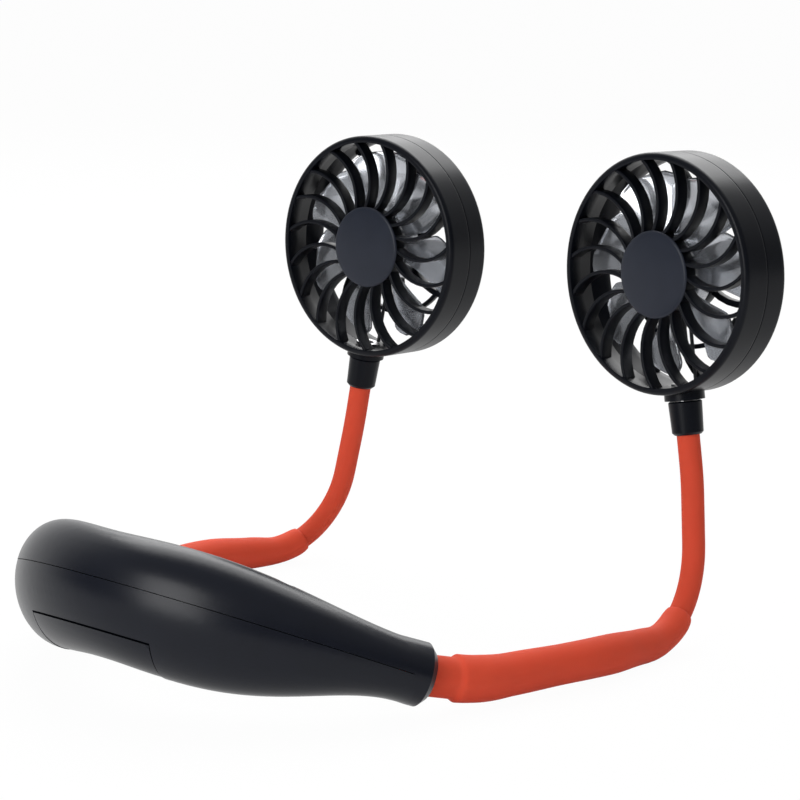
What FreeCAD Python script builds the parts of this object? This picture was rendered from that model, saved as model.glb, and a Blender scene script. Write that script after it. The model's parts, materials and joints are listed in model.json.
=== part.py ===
import FreeCAD, Part
import Sketcher
import math
import os

Vector = FreeCAD.Vector
Rotation = FreeCAD.Rotation
Placement = FreeCAD.Placement

# A wearable neck fan: two round fan heads on bendable silicone arms that grow out of a
# crescent housing behind the neck. X runs across the wearer, +Y from the housing to the
# fans, Z up. The origin is the middle of the ground that the fan stands on, in millimetres.
sizes = {
    # fan heads
    "head_diameter": 70.0,
    "head_depth": 17.2,
    "head_wall": 1.7,
    "head_edge": 1.1,
    "head_seam": 0.5,
    "head_spacing": 116.6,
    "head_ahead": 82.77,
    "head_height": 103.97,
    "head_skew": 1.38,
    "head_lean": 10.2,
    "head_toe": 3.4,
    "head_tilt": 1.6,
    # swirl grille in front
    "rim_width": 2.1,
    "rim_taper": 1.0,
    "vane_count": 19,
    "vane_depth": 4.4,
    "vane_width": 1.1,
    "vane_setback": 0.3,
    "vane_start": 11.3,
    "vane_bow": 7.3,
    "vane_sweep": 4.0,
    "hub_radius": 12.3,
    "hub_bore": 9.4,
    "cap_radius": 12.8,
    "cap_rise": 0.9,
    "cap_edge": 0.6,
    "cap_dome": 0.25,
    "cap_plug": 1.6,
    "cap_fit": 0.15,
    # open grille behind
    "spoke_count": 10,
    "spoke_depth": 2.2,
    "spoke_width": 1.5,
    "spoke_start": 0.0,
    "spoke_sweep": 24.0,
    "guard_radius": 22.0,
    "guard_width": 1.4,
    "guard_depth": 1.8,
    "seat_radius": 11.4,
    "seat_thickness": 1.5,
    "seat_collar": 2.2,
    # motor and impeller
    "motor_radius": 9.3,
    "motor_length": 7.2,
    "motor_fit": 0.15,
    "motor_base": 1.0,
    "bearing_radius": 2.8,
    "bearing_rise": 0.8,
    "shaft_radius": 1.0,
    "shaft_fit": 0.05,
    "shaft_rise": 2.4,
    "shaft_end_gap": 0.3,
    "cup_radius": 11.6,
    "cup_wall": 1.1,
    "cup_top": 1.3,
    "cup_clearance": 0.5,
    "cup_slope": 0.3,
    "cup_chamfer": 1.0,
    "blade_count": 7,
    "blade_tip_gap": 4.3,
    "blade_chord_root": 9.5,
    "blade_chord_tip": 21.0,
    "blade_pitch_root": 38.0,
    "blade_pitch_tip": 19.0,
    "blade_thickness": 0.9,
    "blade_height": -0.7,
    "motor_lead_radius": 0.55,
    # swivel under each head
    "collar_radius": 5.9,
    "collar_height": 1.9,
    "pivot_radius": 2.7,
    "pivot_bore": 2.0,
    "pivot_fit": 0.08,
    "pivot_flange_radius": 3.55,
    "pivot_flange_thickness": 0.7,
    "pivot_gap": 0.55,
    "swivel_gap": 0.3,
    "pivot_grip": 3.0,
    "ferrule_radius": 4.95,
    "ferrule_foot_radius": 4.6,
    "ferrule_length": 9.8,
    "ferrule_edge": 0.7,
    # arms: the elbow is set off from the head's middle, the root bow from the leg's end and
    # the flank bow from the line between those two; all heights are above the ground
    "tube_radius": 3.35,
    "tube_bore": 2.65,
    "tube_fit": 0.12,
    "tube_visible": 54.6,
    "tube_insertion": 14.0,
    "tube_stop": 0.3,
    "core_radius": 1.0,
    "core_fit": 0.1,
    "lead_radius": 0.55,
    "lead_offset": 1.85,
    "lead_fit": 0.15,
    "stem_straight": 13.0,
    "stem_bend": 120.0,
    "elbow_x": 16.9,
    "elbow_y": -7.5,
    "elbow_z": 2.5,
    "elbow_bend": 27.3,
    "flank_bow_x": 6.79,
    "flank_bow_y": 24.32,
    "flank_bow_z": 7.01,
    "flank_bow_bend": 72.0,
    "root_bow_x": 5.3,
    "root_bow_y": 14.0,
    "root_bow_z": 7.6,
    "root_bow_bend": 58.0,
    "leg_bend": 12.0,
    "leg_bend_depth": 1.2,
    "sleeve_mouth_radius": 4.1,
    "sleeve_middle_radius": 5.55,
    "sleeve_root_radius": 6.45,
    "sleeve_neck_radius": 5.6,
    "sleeve_neck_length": 8.5,
    "sleeve_insertion": 10.0,
    "sleeve_fit": 0.25,
    "anchor_radius": 5.4,
    "anchor_length": 6.0,
    "anchor_gap": 0.2,
    # crescent housing
    "crescent_half_width": 82.9,
    "crescent_length": 98.4,
    "crescent_half_angle": 62.3,
    "crescent_centre_y": 4.67,
    "seam_slope": 24.75,
    "seam_tip_height": 14.25,
    "seam_gap": 0.2,
    "nape_width": 25.4,
    "nape_height": 34.6,
    "nape_drop": 3.0,
    "flank_share": 0.35,
    "flank_width": 25.5,
    "flank_height": 36.2,
    "flank_drop": 3.0,
    "taper_share": 0.7,
    "taper_width": 22.6,
    "taper_height": 28.5,
    "taper_drop": 0.95,
    "tip_width": 18.0,
    "tip_height": 18.4,
    "tip_drop": -0.6,
    "nose_length": 5.3,
    "nose_bevel": 1.7,
    "nose_bevel_length": 1.8,
    "housing_wall": 2.6,
    # battery door under the nape
    "door_half_length": 24.5,
    "door_below_seam": 12.6,
    "door_inner_edge": 2.0,
    "door_sink": 0.35,
    "door_thickness": 1.1,
    "door_gap": 0.3,
    "door_ledge": 1.8,
    # inside the housing
    "pack_length": 40.0,
    "pack_height": 21.0,
    "pack_thickness": 9.0,
    "pack_edge": 1.5,
    "pack_gap": 0.2,
    "control_share": 0.625,
    "control_roll": 20.0,
    "board_length": 30.0,
    "board_width": 11.0,
    "board_thickness": 1.2,
    "board_height": -2.0,
    "pillar_radius": 2.2,
    "pillar_spacing": 24.0,
    "pillar_pin": 0.8,
    "pillar_fit": 0.12,
    "pin_rise": 1.4,
    "switch_side": 6.0,
    "switch_height": 3.4,
    "plunger_radius": 1.6,
    "plunger_height": 0.7,
    "button_radius": 3.1,
    "button_fit": 0.2,
    "button_stand": 0.4,
    "button_gap": 0.05,
    "button_edge": 0.5,
    "button_travel": 0.5,
    "button_flange": 1.1,
    "button_flange_thickness": 0.9,
    "button_flange_drop": 2.2,
    "dish_radius": 4.2,
    "dish_depth": 0.6,
    "lens_radius": 1.2,
    "lens_fit": 0.1,
    "lens_shift": 8.0,
    "lens_recess": 0.1,
    "socket_width": 8.9,
    "socket_depth": 3.2,
    "socket_wall": 0.3,
    "socket_cavity": 6.5,
    "socket_recess": 0.5,
    "socket_drop": 0.8,
    "socket_fit": 0.3,
    "tongue_width": 6.2,
    "tongue_thickness": 0.7,
    "tongue_recess": 0.6,
    "wire_radius": 0.7,
    "wire_gap": 0.2,
    "wire_straight": 9.0,
    "wire_spacing": 2.6,
    "wire_clearance": 3.2,
    # joins and tools: how deep welded forms run into each other, how far cuts run past
    "weld": 0.5,
    "overrun": 1.0,
    "tool_reach": 40.0,
}

doc = FreeCAD.newDocument("neck_fan")
sheet = doc.addObject("Spreadsheet::Sheet", "sizes")
for row, (alias, number) in enumerate(sizes.items(), 1):
    sheet.set("A%d" % row, alias)
    sheet.set("B%d" % row, str(number))
    sheet.setAlias("B%d" % row, alias)
doc.recompute()

nodes = []


def size(alias):
    return float(sheet.get(alias))


def bound(text):
    """The expression with each size read from the sheet."""
    words = text.replace("(", " ( ").replace(")", " ) ").split()
    text = " ".join("sizes." + word if word in sizes else word for word in words)
    return text.replace("sin (", "sin(").replace("cos (", "cos(")


def bind(thing, **rules):
    for name, text in rules.items():
        thing.setExpression(name, bound(text))
    return thing


def keep(thing, label):
    """Make a document object one of the fan's pieces."""
    thing.Label = label
    nodes.append(thing)
    return thing


def new_body(name, where):
    body = doc.addObject("PartDesign::Body", name)
    body.AllowCompound = True
    body.Placement = where
    return body


def sketch_on(body, role, lift=None):
    plane = [item for item in body.Origin.OriginFeatures if item.Role == role][0]
    sketch = body.newObject("Sketcher::SketchObject", "Sketch")
    sketch.AttachmentSupport = [(plane, "")]
    sketch.MapMode = "FlatFace"
    if lift:
        sketch.setExpression("AttachmentOffset.Base.z", bound(lift))
    return sketch


def polygon(sketch, corners):
    """A closed outline whose corners are given as expressions."""
    count = len(corners)
    first = sketch.GeometryCount
    for index in range(count):
        turn = 2 * math.pi * index / count
        after = 2 * math.pi * (index + 1) / count
        start = Vector(20 + 9 * math.cos(turn), 9 * math.sin(turn), 0)
        stop = Vector(20 + 9 * math.cos(after), 9 * math.sin(after), 0)
        sketch.addGeometry(Part.LineSegment(start, stop))
    for index in range(count):
        edge = first + index
        after = first + (index + 1) % count
        sketch.addConstraint(Sketcher.Constraint("Coincident", edge, 2, after, 1))
    for index, (across, along) in enumerate(corners):
        for kind, text in (("DistanceX", across), ("DistanceY", along)):
            rule = Sketcher.Constraint(kind, -1, 1, first + index, 1, 1.0)
            place = sketch.addConstraint(rule)
            sketch.setExpression("Constraints[%d]" % place, bound(text))
    return sketch


def turned(body, corners):
    """A solid of revolution about the body's Z axis, from (radius, height) corners."""
    sketch = polygon(sketch_on(body, "XZ_Plane"), corners)
    turn = body.newObject("PartDesign::Revolution", "Turned")
    turn.Profile = sketch
    turn.ReferenceAxis = (sketch, ["V_Axis"])
    turn.Angle = 360
    return turn


def lathe(label, where, corners):
    body = new_body(label, where)
    turned(body, corners)
    return keep(body, label)


def padded(body, sketch, length):
    pad = body.newObject("PartDesign::Pad", "Pad")
    pad.Profile = sketch
    bind(pad, Length=length)
    return pad


def around(body, feature, count):
    """Copies of a feature round the body's Z axis."""
    axis = [item for item in body.Origin.OriginFeatures if item.Role == "Z_Axis"][0]
    pattern = body.newObject("PartDesign::PolarPattern", "Round")
    pattern.Originals = [feature]
    pattern.Axis = (axis, [""])
    pattern.Angle = 360
    bind(pattern, Occurrences=count)
    body.Tip = pattern
    return pattern


def polar(radius, angle):
    return Vector(radius * math.cos(angle), radius * math.sin(angle), 0)


def curved_strip(body, lift, inside, outside, strip, width):
    """A strip of even width that runs from one radius to another on one arc.

    A strip is (start, bow, sweep) in degrees: it leaves the inner radius at its start, is
    bowed back by an angle half-way out and ends swept forward by another.
    """
    start, bow, sweep = [math.radians(angle) for angle in strip]
    middle = 0.5 * (inside + outside)
    first = polar(inside, start)
    second = polar(middle, start - bow)
    third = polar(outside, start + sweep)
    circle = Part.Arc(first, second, third).toShape().Curve
    centre = circle.Center
    low = math.atan2(first.y - centre.y, first.x - centre.x)
    high = math.atan2(third.y - centre.y, third.x - centre.x)
    if high < low:
        high += 2 * math.pi
    sketch = sketch_on(body, "XY_Plane", lift)
    rails = []
    for radius in (circle.Radius - 0.5 * width, circle.Radius + 0.5 * width):
        rail = Part.Circle(centre, Vector(0, 0, 1), radius)
        rails.append(sketch.addGeometry(Part.ArcOfCircle(rail, low, high)))
    ends = []
    for point in (1, 2):
        here = sketch.getPoint(rails[0], point)
        there = sketch.getPoint(rails[1], point)
        ends.append(sketch.addGeometry(Part.LineSegment(here, there)))
        sketch.addConstraint(Sketcher.Constraint("Coincident", ends[-1], 1, rails[0], point))
        sketch.addConstraint(Sketcher.Constraint("Coincident", ends[-1], 2, rails[1], point))
    sketch.addConstraint(Sketcher.Constraint("Block", rails[0]))
    sketch.addConstraint(Sketcher.Constraint("Block", rails[1]))
    return sketch


def drilled(body, lift, radius, depth):
    """A round hole from outside, up the body's Y axis, starting that far below its centre."""
    sketch = sketch_on(body, "XZ_Plane", lift)
    circle = sketch.addGeometry(Part.Circle(Vector(0, 0, 0), Vector(0, 0, 1), 1.0))
    sketch.addConstraint(Sketcher.Constraint("Coincident", circle, 3, -1, 1))
    rule = sketch.addConstraint(Sketcher.Constraint("Radius", circle, 1.0))
    sketch.setExpression("Constraints[%d]" % rule, bound(radius))
    hole = body.newObject("PartDesign::Pocket", "Hole")
    hole.Profile = sketch
    bind(hole, Length=depth)
    return hole


def solid(kind, name, where, **rules):
    thing = doc.addObject(kind, name)
    bind(thing, **rules)
    thing.Placement = where
    return thing


def cut(name, base, *tools):
    """One form less others. Only the last cut carries the plain name."""
    for count, tool in enumerate(tools, 1):
        result = doc.addObject("Part::Cut", name if count == len(tools) else name + "_before")
        result.Base = base
        result.Tool = tool
        base = result
    return base


def joined(name, *shapes):
    result = doc.addObject("Part::MultiFuse", name)
    result.Shapes = list(shapes)
    return result


def shared(name, *shapes):
    result = doc.addObject("Part::MultiCommon", name)
    result.Shapes = list(shapes)
    return result


def frame_at(origin, along, up):
    """A placement with its X along one direction and its Z as near as can be to another."""
    x = Vector(along).normalize()
    y = up.cross(x).normalize()
    z = x.cross(y)
    matrix = FreeCAD.Matrix(
        x.x, y.x, z.x, origin.x, x.y, y.y, z.y, origin.y, x.z, y.z, z.z, origin.z, 0, 0, 0, 1
    )
    return Placement(matrix)


def along_axis(origin, direction):
    """A placement whose Z runs along a direction."""
    return Placement(origin, Rotation(Vector(0, 0, 1), direction))


def shifted(x=0.0, y=0.0, z=0.0):
    return Placement(Vector(x, y, z), Rotation())


def route_edges(points, bends):
    """Straight runs between points, joined by tangent arcs of the given radii."""
    edges = []
    here = points[0]
    for index in range(1, len(points) - 1):
        corner = points[index]
        back = (points[index - 1] - corner).normalize()
        ahead = (points[index + 1] - corner).normalize()
        half = 0.5 * back.getAngle(ahead)
        radius = bends[index - 1]
        reach = radius / math.tan(half)
        middle = (back + ahead).normalize()
        centre = corner + middle * (radius / math.sin(half))
        enter = corner + back * reach
        leave = corner + ahead * reach
        edges.append(Part.LineSegment(here, enter).toShape())
        edges.append(Part.Arc(enter, centre - middle * radius, leave).toShape())
        here = leave
    edges.append(Part.LineSegment(here, points[-1]).toShape())
    return edges


def easy_bends(points):
    """Bend radii as large as the two runs at each point allow."""
    bends = []
    for index in range(1, len(points) - 1):
        back = points[index - 1] - points[index]
        ahead = points[index + 1] - points[index]
        half = 0.5 * back.getAngle(ahead)
        bends.append(0.45 * min(back.Length, ahead.Length) * math.tan(half))
    return bends


def stretch(edges, start, stop):
    """The part of a route between two distances along it."""
    parts = []
    done = 0.0
    for edge in edges:
        low = max(start - done, 0.0)
        high = min(stop - done, edge.Length)
        if high - low > 1e-4:
            first = edge.getParameterByLength(low)
            last = edge.getParameterByLength(high)
            parts.append(edge.Curve.toShape(first, last))
        done += edge.Length
    return Part.Wire(parts)


def point_on(edges, distance):
    """The point and the direction at a distance along a route."""
    done = 0.0
    for edge in edges:
        if distance <= done + edge.Length + 1e-6:
            place = edge.getParameterByLength(min(distance - done, edge.Length))
            return edge.valueAt(place), edge.tangentAt(place)
        done += edge.Length
    return edges[-1].valueAt(edges[-1].LastParameter), edges[-1].tangentAt(edges[-1].LastParameter)


def swept(name, wire, *rings):
    """A round bar along a wire. Each ring is (distance along it, radius expression)."""
    spine = doc.addObject("Part::Feature", name + "_path")
    spine.Shape = wire
    sections = []
    for distance, radius in rings:
        point, direction = point_on(wire.OrderedEdges, distance)
        ring = solid("Part::Circle", name + "_ring", along_axis(point, direction), Radius=radius)
        sections.append(ring)
    sweep = doc.addObject("Part::Sweep", name)
    sweep.Sections = sections
    sweep.Spine = (spine, ["Edge%d" % (index + 1) for index in range(len(wire.Edges))])
    sweep.Solid = True
    sweep.Frenet = False
    return sweep


# Places of the two heads. In a head's own frame Z points out of its front and Y up its stem.
def head_place(side):
    turn = Rotation(Vector(0, 0, 1), -side * size("head_toe"))
    turn = turn * Rotation(Vector(0, 1, 0), -side * size("head_lean"))
    turn = turn * Rotation(Vector(1, 0, 0), 90 - size("head_tilt"))
    height = size("head_height") + side * size("head_skew")
    spot = Vector(side * size("head_spacing") / 2, size("head_ahead"), height)
    return Placement(spot, turn)


FRONT = "head_depth / 2"
RADIUS = "head_diameter / 2"
INSIDE = "( " + RADIUS + " - head_wall )"
SEAT = "( vane_setback - " + FRONT + " )"
GRILLE_BACK = "( " + FRONT + " - vane_setback - vane_depth )"
MOTOR_FOOT = "( " + SEAT + " + seat_thickness )"
MOTOR_TOP = "( " + MOTOR_FOOT + " + motor_length )"
BEARING_TOP = "( " + MOTOR_TOP + " + bearing_rise )"


def build_head(name, side):
    where = head_place(side)
    stem = where * Placement(Vector(0, 0, 0), Rotation(Vector(1, 0, 0), 90))
    # front shell: a plain ring with the swirl of vanes round its hub
    grille = new_body(name + "_front_grille", where)
    turned(grille, [
        (RADIUS, "- head_seam"),
        (RADIUS, FRONT + " - head_edge"),
        (RADIUS + " - head_edge", FRONT),
        (RADIUS + " - rim_width", FRONT),
        (RADIUS + " - rim_width", GRILLE_BACK),
        (INSIDE, GRILLE_BACK + " - rim_taper"),
        (INSIDE, "- head_seam"),
    ])
    turned(grille, [
        ("hub_bore", GRILLE_BACK),
        ("hub_radius", GRILLE_BACK),
        ("hub_radius", FRONT + " - vane_setback"),
        ("hub_bore", FRONT + " - vane_setback"),
    ])
    vane = curved_strip(
        grille, GRILLE_BACK, size("hub_radius") - size("weld"),
        size("head_diameter") / 2 - size("rim_width") + size("weld"),
        (size("vane_start"), size("vane_bow"), size("vane_sweep")), size("vane_width"),
    )
    around(grille, padded(grille, vane, "vane_depth"), "vane_count")
    drilled(grille, RADIUS + " + overrun", "pivot_radius + pivot_fit", "head_wall + 3 * overrun")
    keep(grille, name + "_front_grille")
    # cap over the hub
    lathe(name + "_hub_cap", where, [
        ("0", FRONT + " - vane_setback - cap_plug"),
        ("hub_bore - cap_fit", FRONT + " - vane_setback - cap_plug"),
        ("hub_bore - cap_fit", FRONT + " - vane_setback"),
        ("cap_radius", FRONT + " - vane_setback"),
        ("cap_radius", FRONT + " + cap_rise - cap_edge - cap_dome"),
        ("cap_radius - cap_edge", FRONT + " + cap_rise - cap_dome"),
        ("cap_radius / 2", FRONT + " + cap_rise - cap_dome / 4"),
        ("0", FRONT + " + cap_rise"),
    ])
    # rear shell: ring, open spokes, one guard ring and the motor's seat
    rear = new_body(name + "_rear_shell", where)
    turned(rear, [
        (RADIUS, "- head_seam"),
        (INSIDE, "- head_seam"),
        (INSIDE, SEAT + " + spoke_depth + rim_taper"),
        (RADIUS + " - rim_width", SEAT + " + spoke_depth"),
        (RADIUS + " - rim_width", "- " + FRONT),
        (RADIUS + " - head_edge", "- " + FRONT),
        (RADIUS, "head_edge - " + FRONT),
    ])
    turned(rear, [
        ("0", SEAT),
        ("seat_radius", SEAT),
        ("seat_radius", MOTOR_FOOT + " + seat_collar"),
        ("motor_radius + motor_fit", MOTOR_FOOT + " + seat_collar"),
        ("motor_radius + motor_fit", MOTOR_FOOT),
        ("0", MOTOR_FOOT),
    ])
    turned(rear, [
        ("guard_radius - guard_width / 2", SEAT),
        ("guard_radius + guard_width / 2", SEAT),
        ("guard_radius + guard_width / 2", SEAT + " + guard_depth"),
        ("guard_radius - guard_width / 2", SEAT + " + guard_depth"),
    ])
    spoke = curved_strip(
        rear, SEAT, size("seat_radius") - size("weld"),
        size("head_diameter") / 2 - size("rim_width") + size("weld"),
        (size("spoke_start"), -size("spoke_sweep") / 4, size("spoke_sweep")), size("spoke_width"),
    )
    around(rear, padded(rear, spoke, "spoke_depth"), "spoke_count")
    drilled(rear, RADIUS + " + overrun", "pivot_radius + pivot_fit", "head_wall + 3 * overrun")
    keep(rear, name + "_rear_shell")
    # motor, its shaft and the clear impeller that hides the motor in its cup
    lathe(name + "_motor", where, [
        ("shaft_radius + shaft_fit", MOTOR_FOOT + " + motor_base"),
        ("0", MOTOR_FOOT + " + motor_base"),
        ("0", MOTOR_FOOT),
        ("motor_radius", MOTOR_FOOT),
        ("motor_radius", MOTOR_TOP),
        ("bearing_radius", MOTOR_TOP),
        ("bearing_radius", BEARING_TOP),
        ("shaft_radius + shaft_fit", BEARING_TOP),
    ])
    lathe(name + "_motor_shaft", where, [
        ("0", MOTOR_FOOT + " + motor_base + shaft_end_gap"),
        ("shaft_radius", MOTOR_FOOT + " + motor_base + shaft_end_gap"),
        ("shaft_radius", BEARING_TOP + " + shaft_rise"),
        ("0", BEARING_TOP + " + shaft_rise"),
    ])
    impeller = new_body(name + "_impeller", where)
    turned(impeller, [
        ("shaft_radius", BEARING_TOP + " + cup_clearance"),
        ("bearing_radius", BEARING_TOP + " + cup_clearance"),
        ("cup_radius - cup_wall", BEARING_TOP + " + cup_clearance - cup_slope"),
        ("cup_radius - cup_wall", MOTOR_FOOT + " + seat_collar + cup_clearance"),
        ("cup_radius", MOTOR_FOOT + " + seat_collar + cup_clearance"),
        ("cup_radius", BEARING_TOP + " + cup_clearance"),
        ("cup_radius - cup_chamfer", BEARING_TOP + " + cup_clearance + cup_top"),
        ("shaft_radius", BEARING_TOP + " + cup_clearance + cup_top"),
    ])
    sections = []
    for lift, chord, pitch in (
        ("cup_radius - cup_wall / 2", "blade_chord_root", "blade_pitch_root"),
        (INSIDE + " - blade_tip_gap", "blade_chord_tip", "blade_pitch_tip"),
    ):
        across = chord + " / 2 * cos ( " + pitch + " * 1deg )"
        along = chord + " / 2 * sin ( " + pitch + " * 1deg )"
        thick = "blade_thickness / 2 / cos ( " + pitch + " * 1deg )"
        sections.append(polygon(sketch_on(impeller, "XZ_Plane", lift), [
            ("- " + across, "blade_height - " + along + " - " + thick),
            (across, "blade_height + " + along + " - " + thick),
            (across, "blade_height + " + along + " + " + thick),
            ("- " + across, "blade_height - " + along + " + " + thick),
        ]))
    blade = impeller.newObject("PartDesign::AdditiveLoft", "Blade")
    blade.Profile = sections[0]
    blade.Sections = [sections[1]]
    around(impeller, blade, "blade_count")
    keep(impeller, name + "_impeller")
    # lead from the rim to the motor, on top of the open spokes
    level = size("vane_setback") - size("head_depth") / 2 + size("spoke_depth")
    level += size("motor_lead_radius") + size("wire_gap") / 2
    outer = Vector(0, size("wire_gap") + size("rim_width") - size("head_diameter") / 2, level)
    inner = Vector(0, -size("seat_radius") - size("wire_gap"), level)
    lead = solid(
        "Part::Cylinder", name + "_motor_lead", where * along_axis(outer, inner - outer),
        Radius="motor_lead_radius",
    )
    bind(lead, Height=RADIUS + " - rim_width - seat_radius - 2 * wire_gap")
    keep(lead, name + "_motor_lead")
    # swivel: collar under the head, hollow pivot through its wall, ferrule on the pivot
    ring = new_body(name + "_collar_ring", stem)
    turned(ring, [
        ("pivot_radius + pivot_fit", RADIUS + " - head_wall"),
        ("collar_radius", RADIUS + " - head_wall"),
        ("collar_radius", RADIUS + " + collar_height"),
        ("pivot_radius + pivot_fit", RADIUS + " + collar_height"),
    ])
    drum = solid(
        "Part::Cylinder", name + "_drum", where * shifted(z=-size("head_depth")),
        Radius=RADIUS, Height="2 * head_depth",
    )
    keep(cut(name + "_swivel_collar", ring, drum), name + "_swivel_collar")
    lathe(name + "_swivel_pivot", stem, [
        ("pivot_bore", INSIDE + " - pivot_gap - pivot_flange_thickness"),
        ("pivot_flange_radius", INSIDE + " - pivot_gap - pivot_flange_thickness"),
        ("pivot_flange_radius", INSIDE + " - pivot_gap"),
        ("pivot_radius", INSIDE + " - pivot_gap"),
        ("pivot_radius", RADIUS + " + collar_height + swivel_gap + pivot_grip"),
        ("pivot_bore", RADIUS + " + collar_height + swivel_gap + pivot_grip"),
    ])
    top = RADIUS + " + collar_height + swivel_gap"
    lathe(name + "_ferrule", stem, [
        ("pivot_radius", top),
        ("ferrule_radius - ferrule_edge / 2", top),
        ("ferrule_radius", top + " + ferrule_edge / 2"),
        ("ferrule_foot_radius", top + " + ferrule_length - ferrule_edge"),
        ("ferrule_foot_radius - ferrule_edge", top + " + ferrule_length"),
        ("tube_radius + tube_fit", top + " + ferrule_length"),
        ("tube_radius + tube_fit", top + " + pivot_grip"),
        ("pivot_radius", top + " + pivot_grip"),
    ])
    return stem


# The crescent's spine: its outer edge is an ellipse in plan, and its seam a sloping plane.
STATIONS = ("nape", "flank", "taper", "tip")


def share_of(station):
    ends = {"nape": 0.0, "tip": 1.0}
    if station in ends:
        return ends[station]
    return size(station + "_share")


def station_value(name, share):
    """A section's size at a share of the half arc, between the named stations."""
    places = [share_of(station) for station in STATIONS]
    values = [size(station + "_" + name) for station in STATIONS]
    for index in range(3):
        if abs(share) <= places[index + 1] + 1e-9:
            part = (abs(share) - places[index]) / (places[index + 1] - places[index])
            return values[index] + part * (values[index + 1] - values[index])
    return values[-1]


def seam_height(y):
    half = math.radians(size("crescent_half_angle"))
    tip_y = size("crescent_centre_y") - size("crescent_length") * math.cos(half)
    return size("seam_tip_height") + math.tan(math.radians(size("seam_slope"))) * (tip_y - y)


def spine_at(share):
    """Centre, plan direction towards the +X tip and outward direction of a section."""
    angle = share * math.radians(size("crescent_half_angle"))
    wide = size("crescent_half_width")
    deep = size("crescent_length")
    edge = Vector(wide * math.sin(angle), size("crescent_centre_y") - deep * math.cos(angle), 0)
    ahead = Vector(wide * math.cos(angle), deep * math.sin(angle), 0).normalize()
    out = Vector(ahead.y, -ahead.x, 0)
    centre = edge - out * (station_value("width", share) / 2)
    centre.z = seam_height(centre.y) - station_value("drop", share)
    return centre, ahead, out


def climb_at(share):
    """The spine's own direction in space, towards the +X tip."""
    step = 0.01
    after = spine_at(min(share + step, 1.0))[0]
    before = spine_at(max(share - step, -1.0))[0]
    return (after - before).normalize()


def section_frame(share):
    """A section's frame: X outward, Y up."""
    centre, ahead, out = spine_at(share)
    matrix = FreeCAD.Matrix(
        out.x, 0, -ahead.x, centre.x, out.y, 0, -ahead.y, centre.y, 0, 1, 0, centre.z, 0, 0, 0, 1
    )
    return Placement(matrix)


def section_radii(share, inset):
    wide = station_value("width", share) / 2 - inset
    tall = station_value("height", share) / 2 - inset
    return wide, tall


def oval_arc(wide, tall, start, stop):
    """Part of an oval, between two angles."""
    circle = Part.Circle(Vector(0, 0, 0), Vector(0, 0, 1), 1.0)
    matrix = FreeCAD.Matrix()
    matrix.scale(wide, tall, 1.0)
    arc = Part.ArcOfCircle(circle, start, stop).toShape()
    return arc.toNurbs().transformGeometry(matrix).Edges[0]


def oval(share, inset, shift=Vector(0, 0, 0)):
    """A whole oval across the spine, standing upright."""
    wide, tall = section_radii(share, inset)
    ring = Part.Wire([oval_arc(wide, tall, 0, math.pi), oval_arc(wide, tall, math.pi, 2 * math.pi)])
    place = section_frame(share)
    place.Base = place.Base + shift
    ring.Placement = place
    return ring


def seam_angles(share, inset, lift):
    """Where a plane along the seam, lifted off it, meets a section: outer and inner angle."""
    wide, tall = section_radii(share, inset)
    slope = math.radians(size("seam_slope"))
    out = spine_at(share)[2]
    rise = -math.tan(slope) * out.y
    level = station_value("drop", share) + lift / math.cos(slope)
    swing = math.atan2(rise * wide, tall)
    turn = math.asin(level / math.hypot(tall, rise * wide))
    return swing + turn, swing + math.pi - turn


def band(share, outer, inner):
    """A closed strip between two ovals. Each is (inset, start angle, stop angle)."""
    first = oval_arc(*section_radii(share, outer[0]), outer[1], outer[2])
    second = oval_arc(*section_radii(share, inner[0]), inner[1], inner[2])
    ends = [
        Part.LineSegment(first.valueAt(first.LastParameter), second.valueAt(second.LastParameter)),
        Part.LineSegment(second.valueAt(second.FirstParameter), first.valueAt(first.FirstParameter)),
    ]
    wire = Part.Wire([first, ends[0].toShape(), second, ends[1].toShape()])
    wire.Placement = section_frame(share)
    return wire


def loft(name, rings, ruled=False):
    sections = []
    for ring in rings:
        section = doc.addObject("Part::Feature", name + "_section")
        section.Shape = ring
        sections.append(section)
    result = doc.addObject("Part::Loft", name)
    result.Sections = sections
    result.Solid = True
    result.Ruled = ruled
    return result


def station_shares():
    places = [share_of(station) for station in STATIONS]
    return [-place for place in places[:0:-1]] + places


def crescent(name, inset):
    """The housing's whole smooth form, drawn in by a distance."""
    return loft(name, [oval(share, inset) for share in station_shares()])


def half_shell(name, upper):
    """The housing's wall above or below the seam."""
    gap = size("seam_gap") / 2
    wall = size("housing_wall")
    rings = []
    for share in station_shares():
        strips = []
        for inset in (0.0, wall):
            outer, inner = seam_angles(share, inset, gap if upper else -gap)
            strips.append((inset, outer, inner) if upper else (inset, inner, outer + 2 * math.pi))
        rings.append(band(share, *strips))
    return loft(name, rings)


def door_band(name, outer_inset, inner_inset, margin):
    """A piece of the wall where the battery door lies, from its upper to its inner edge."""
    half = math.radians(size("crescent_half_angle")) * size("crescent_half_width")
    reach = (size("door_half_length") + margin) / half
    rings = []
    for share in (-reach, -reach / 2, 0.0, reach / 2, reach):
        strips = []
        for inset in (outer_inset, inner_inset):
            top = seam_angles(share, inset, margin - size("door_below_seam"))[0]
            wide = section_radii(share, inset)[0]
            foot = -math.acos(-(size("door_inner_edge") + margin) / wide)
            strips.append((inset, foot, top))
        rings.append(band(share, *strips))
    return loft(name, rings)


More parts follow.
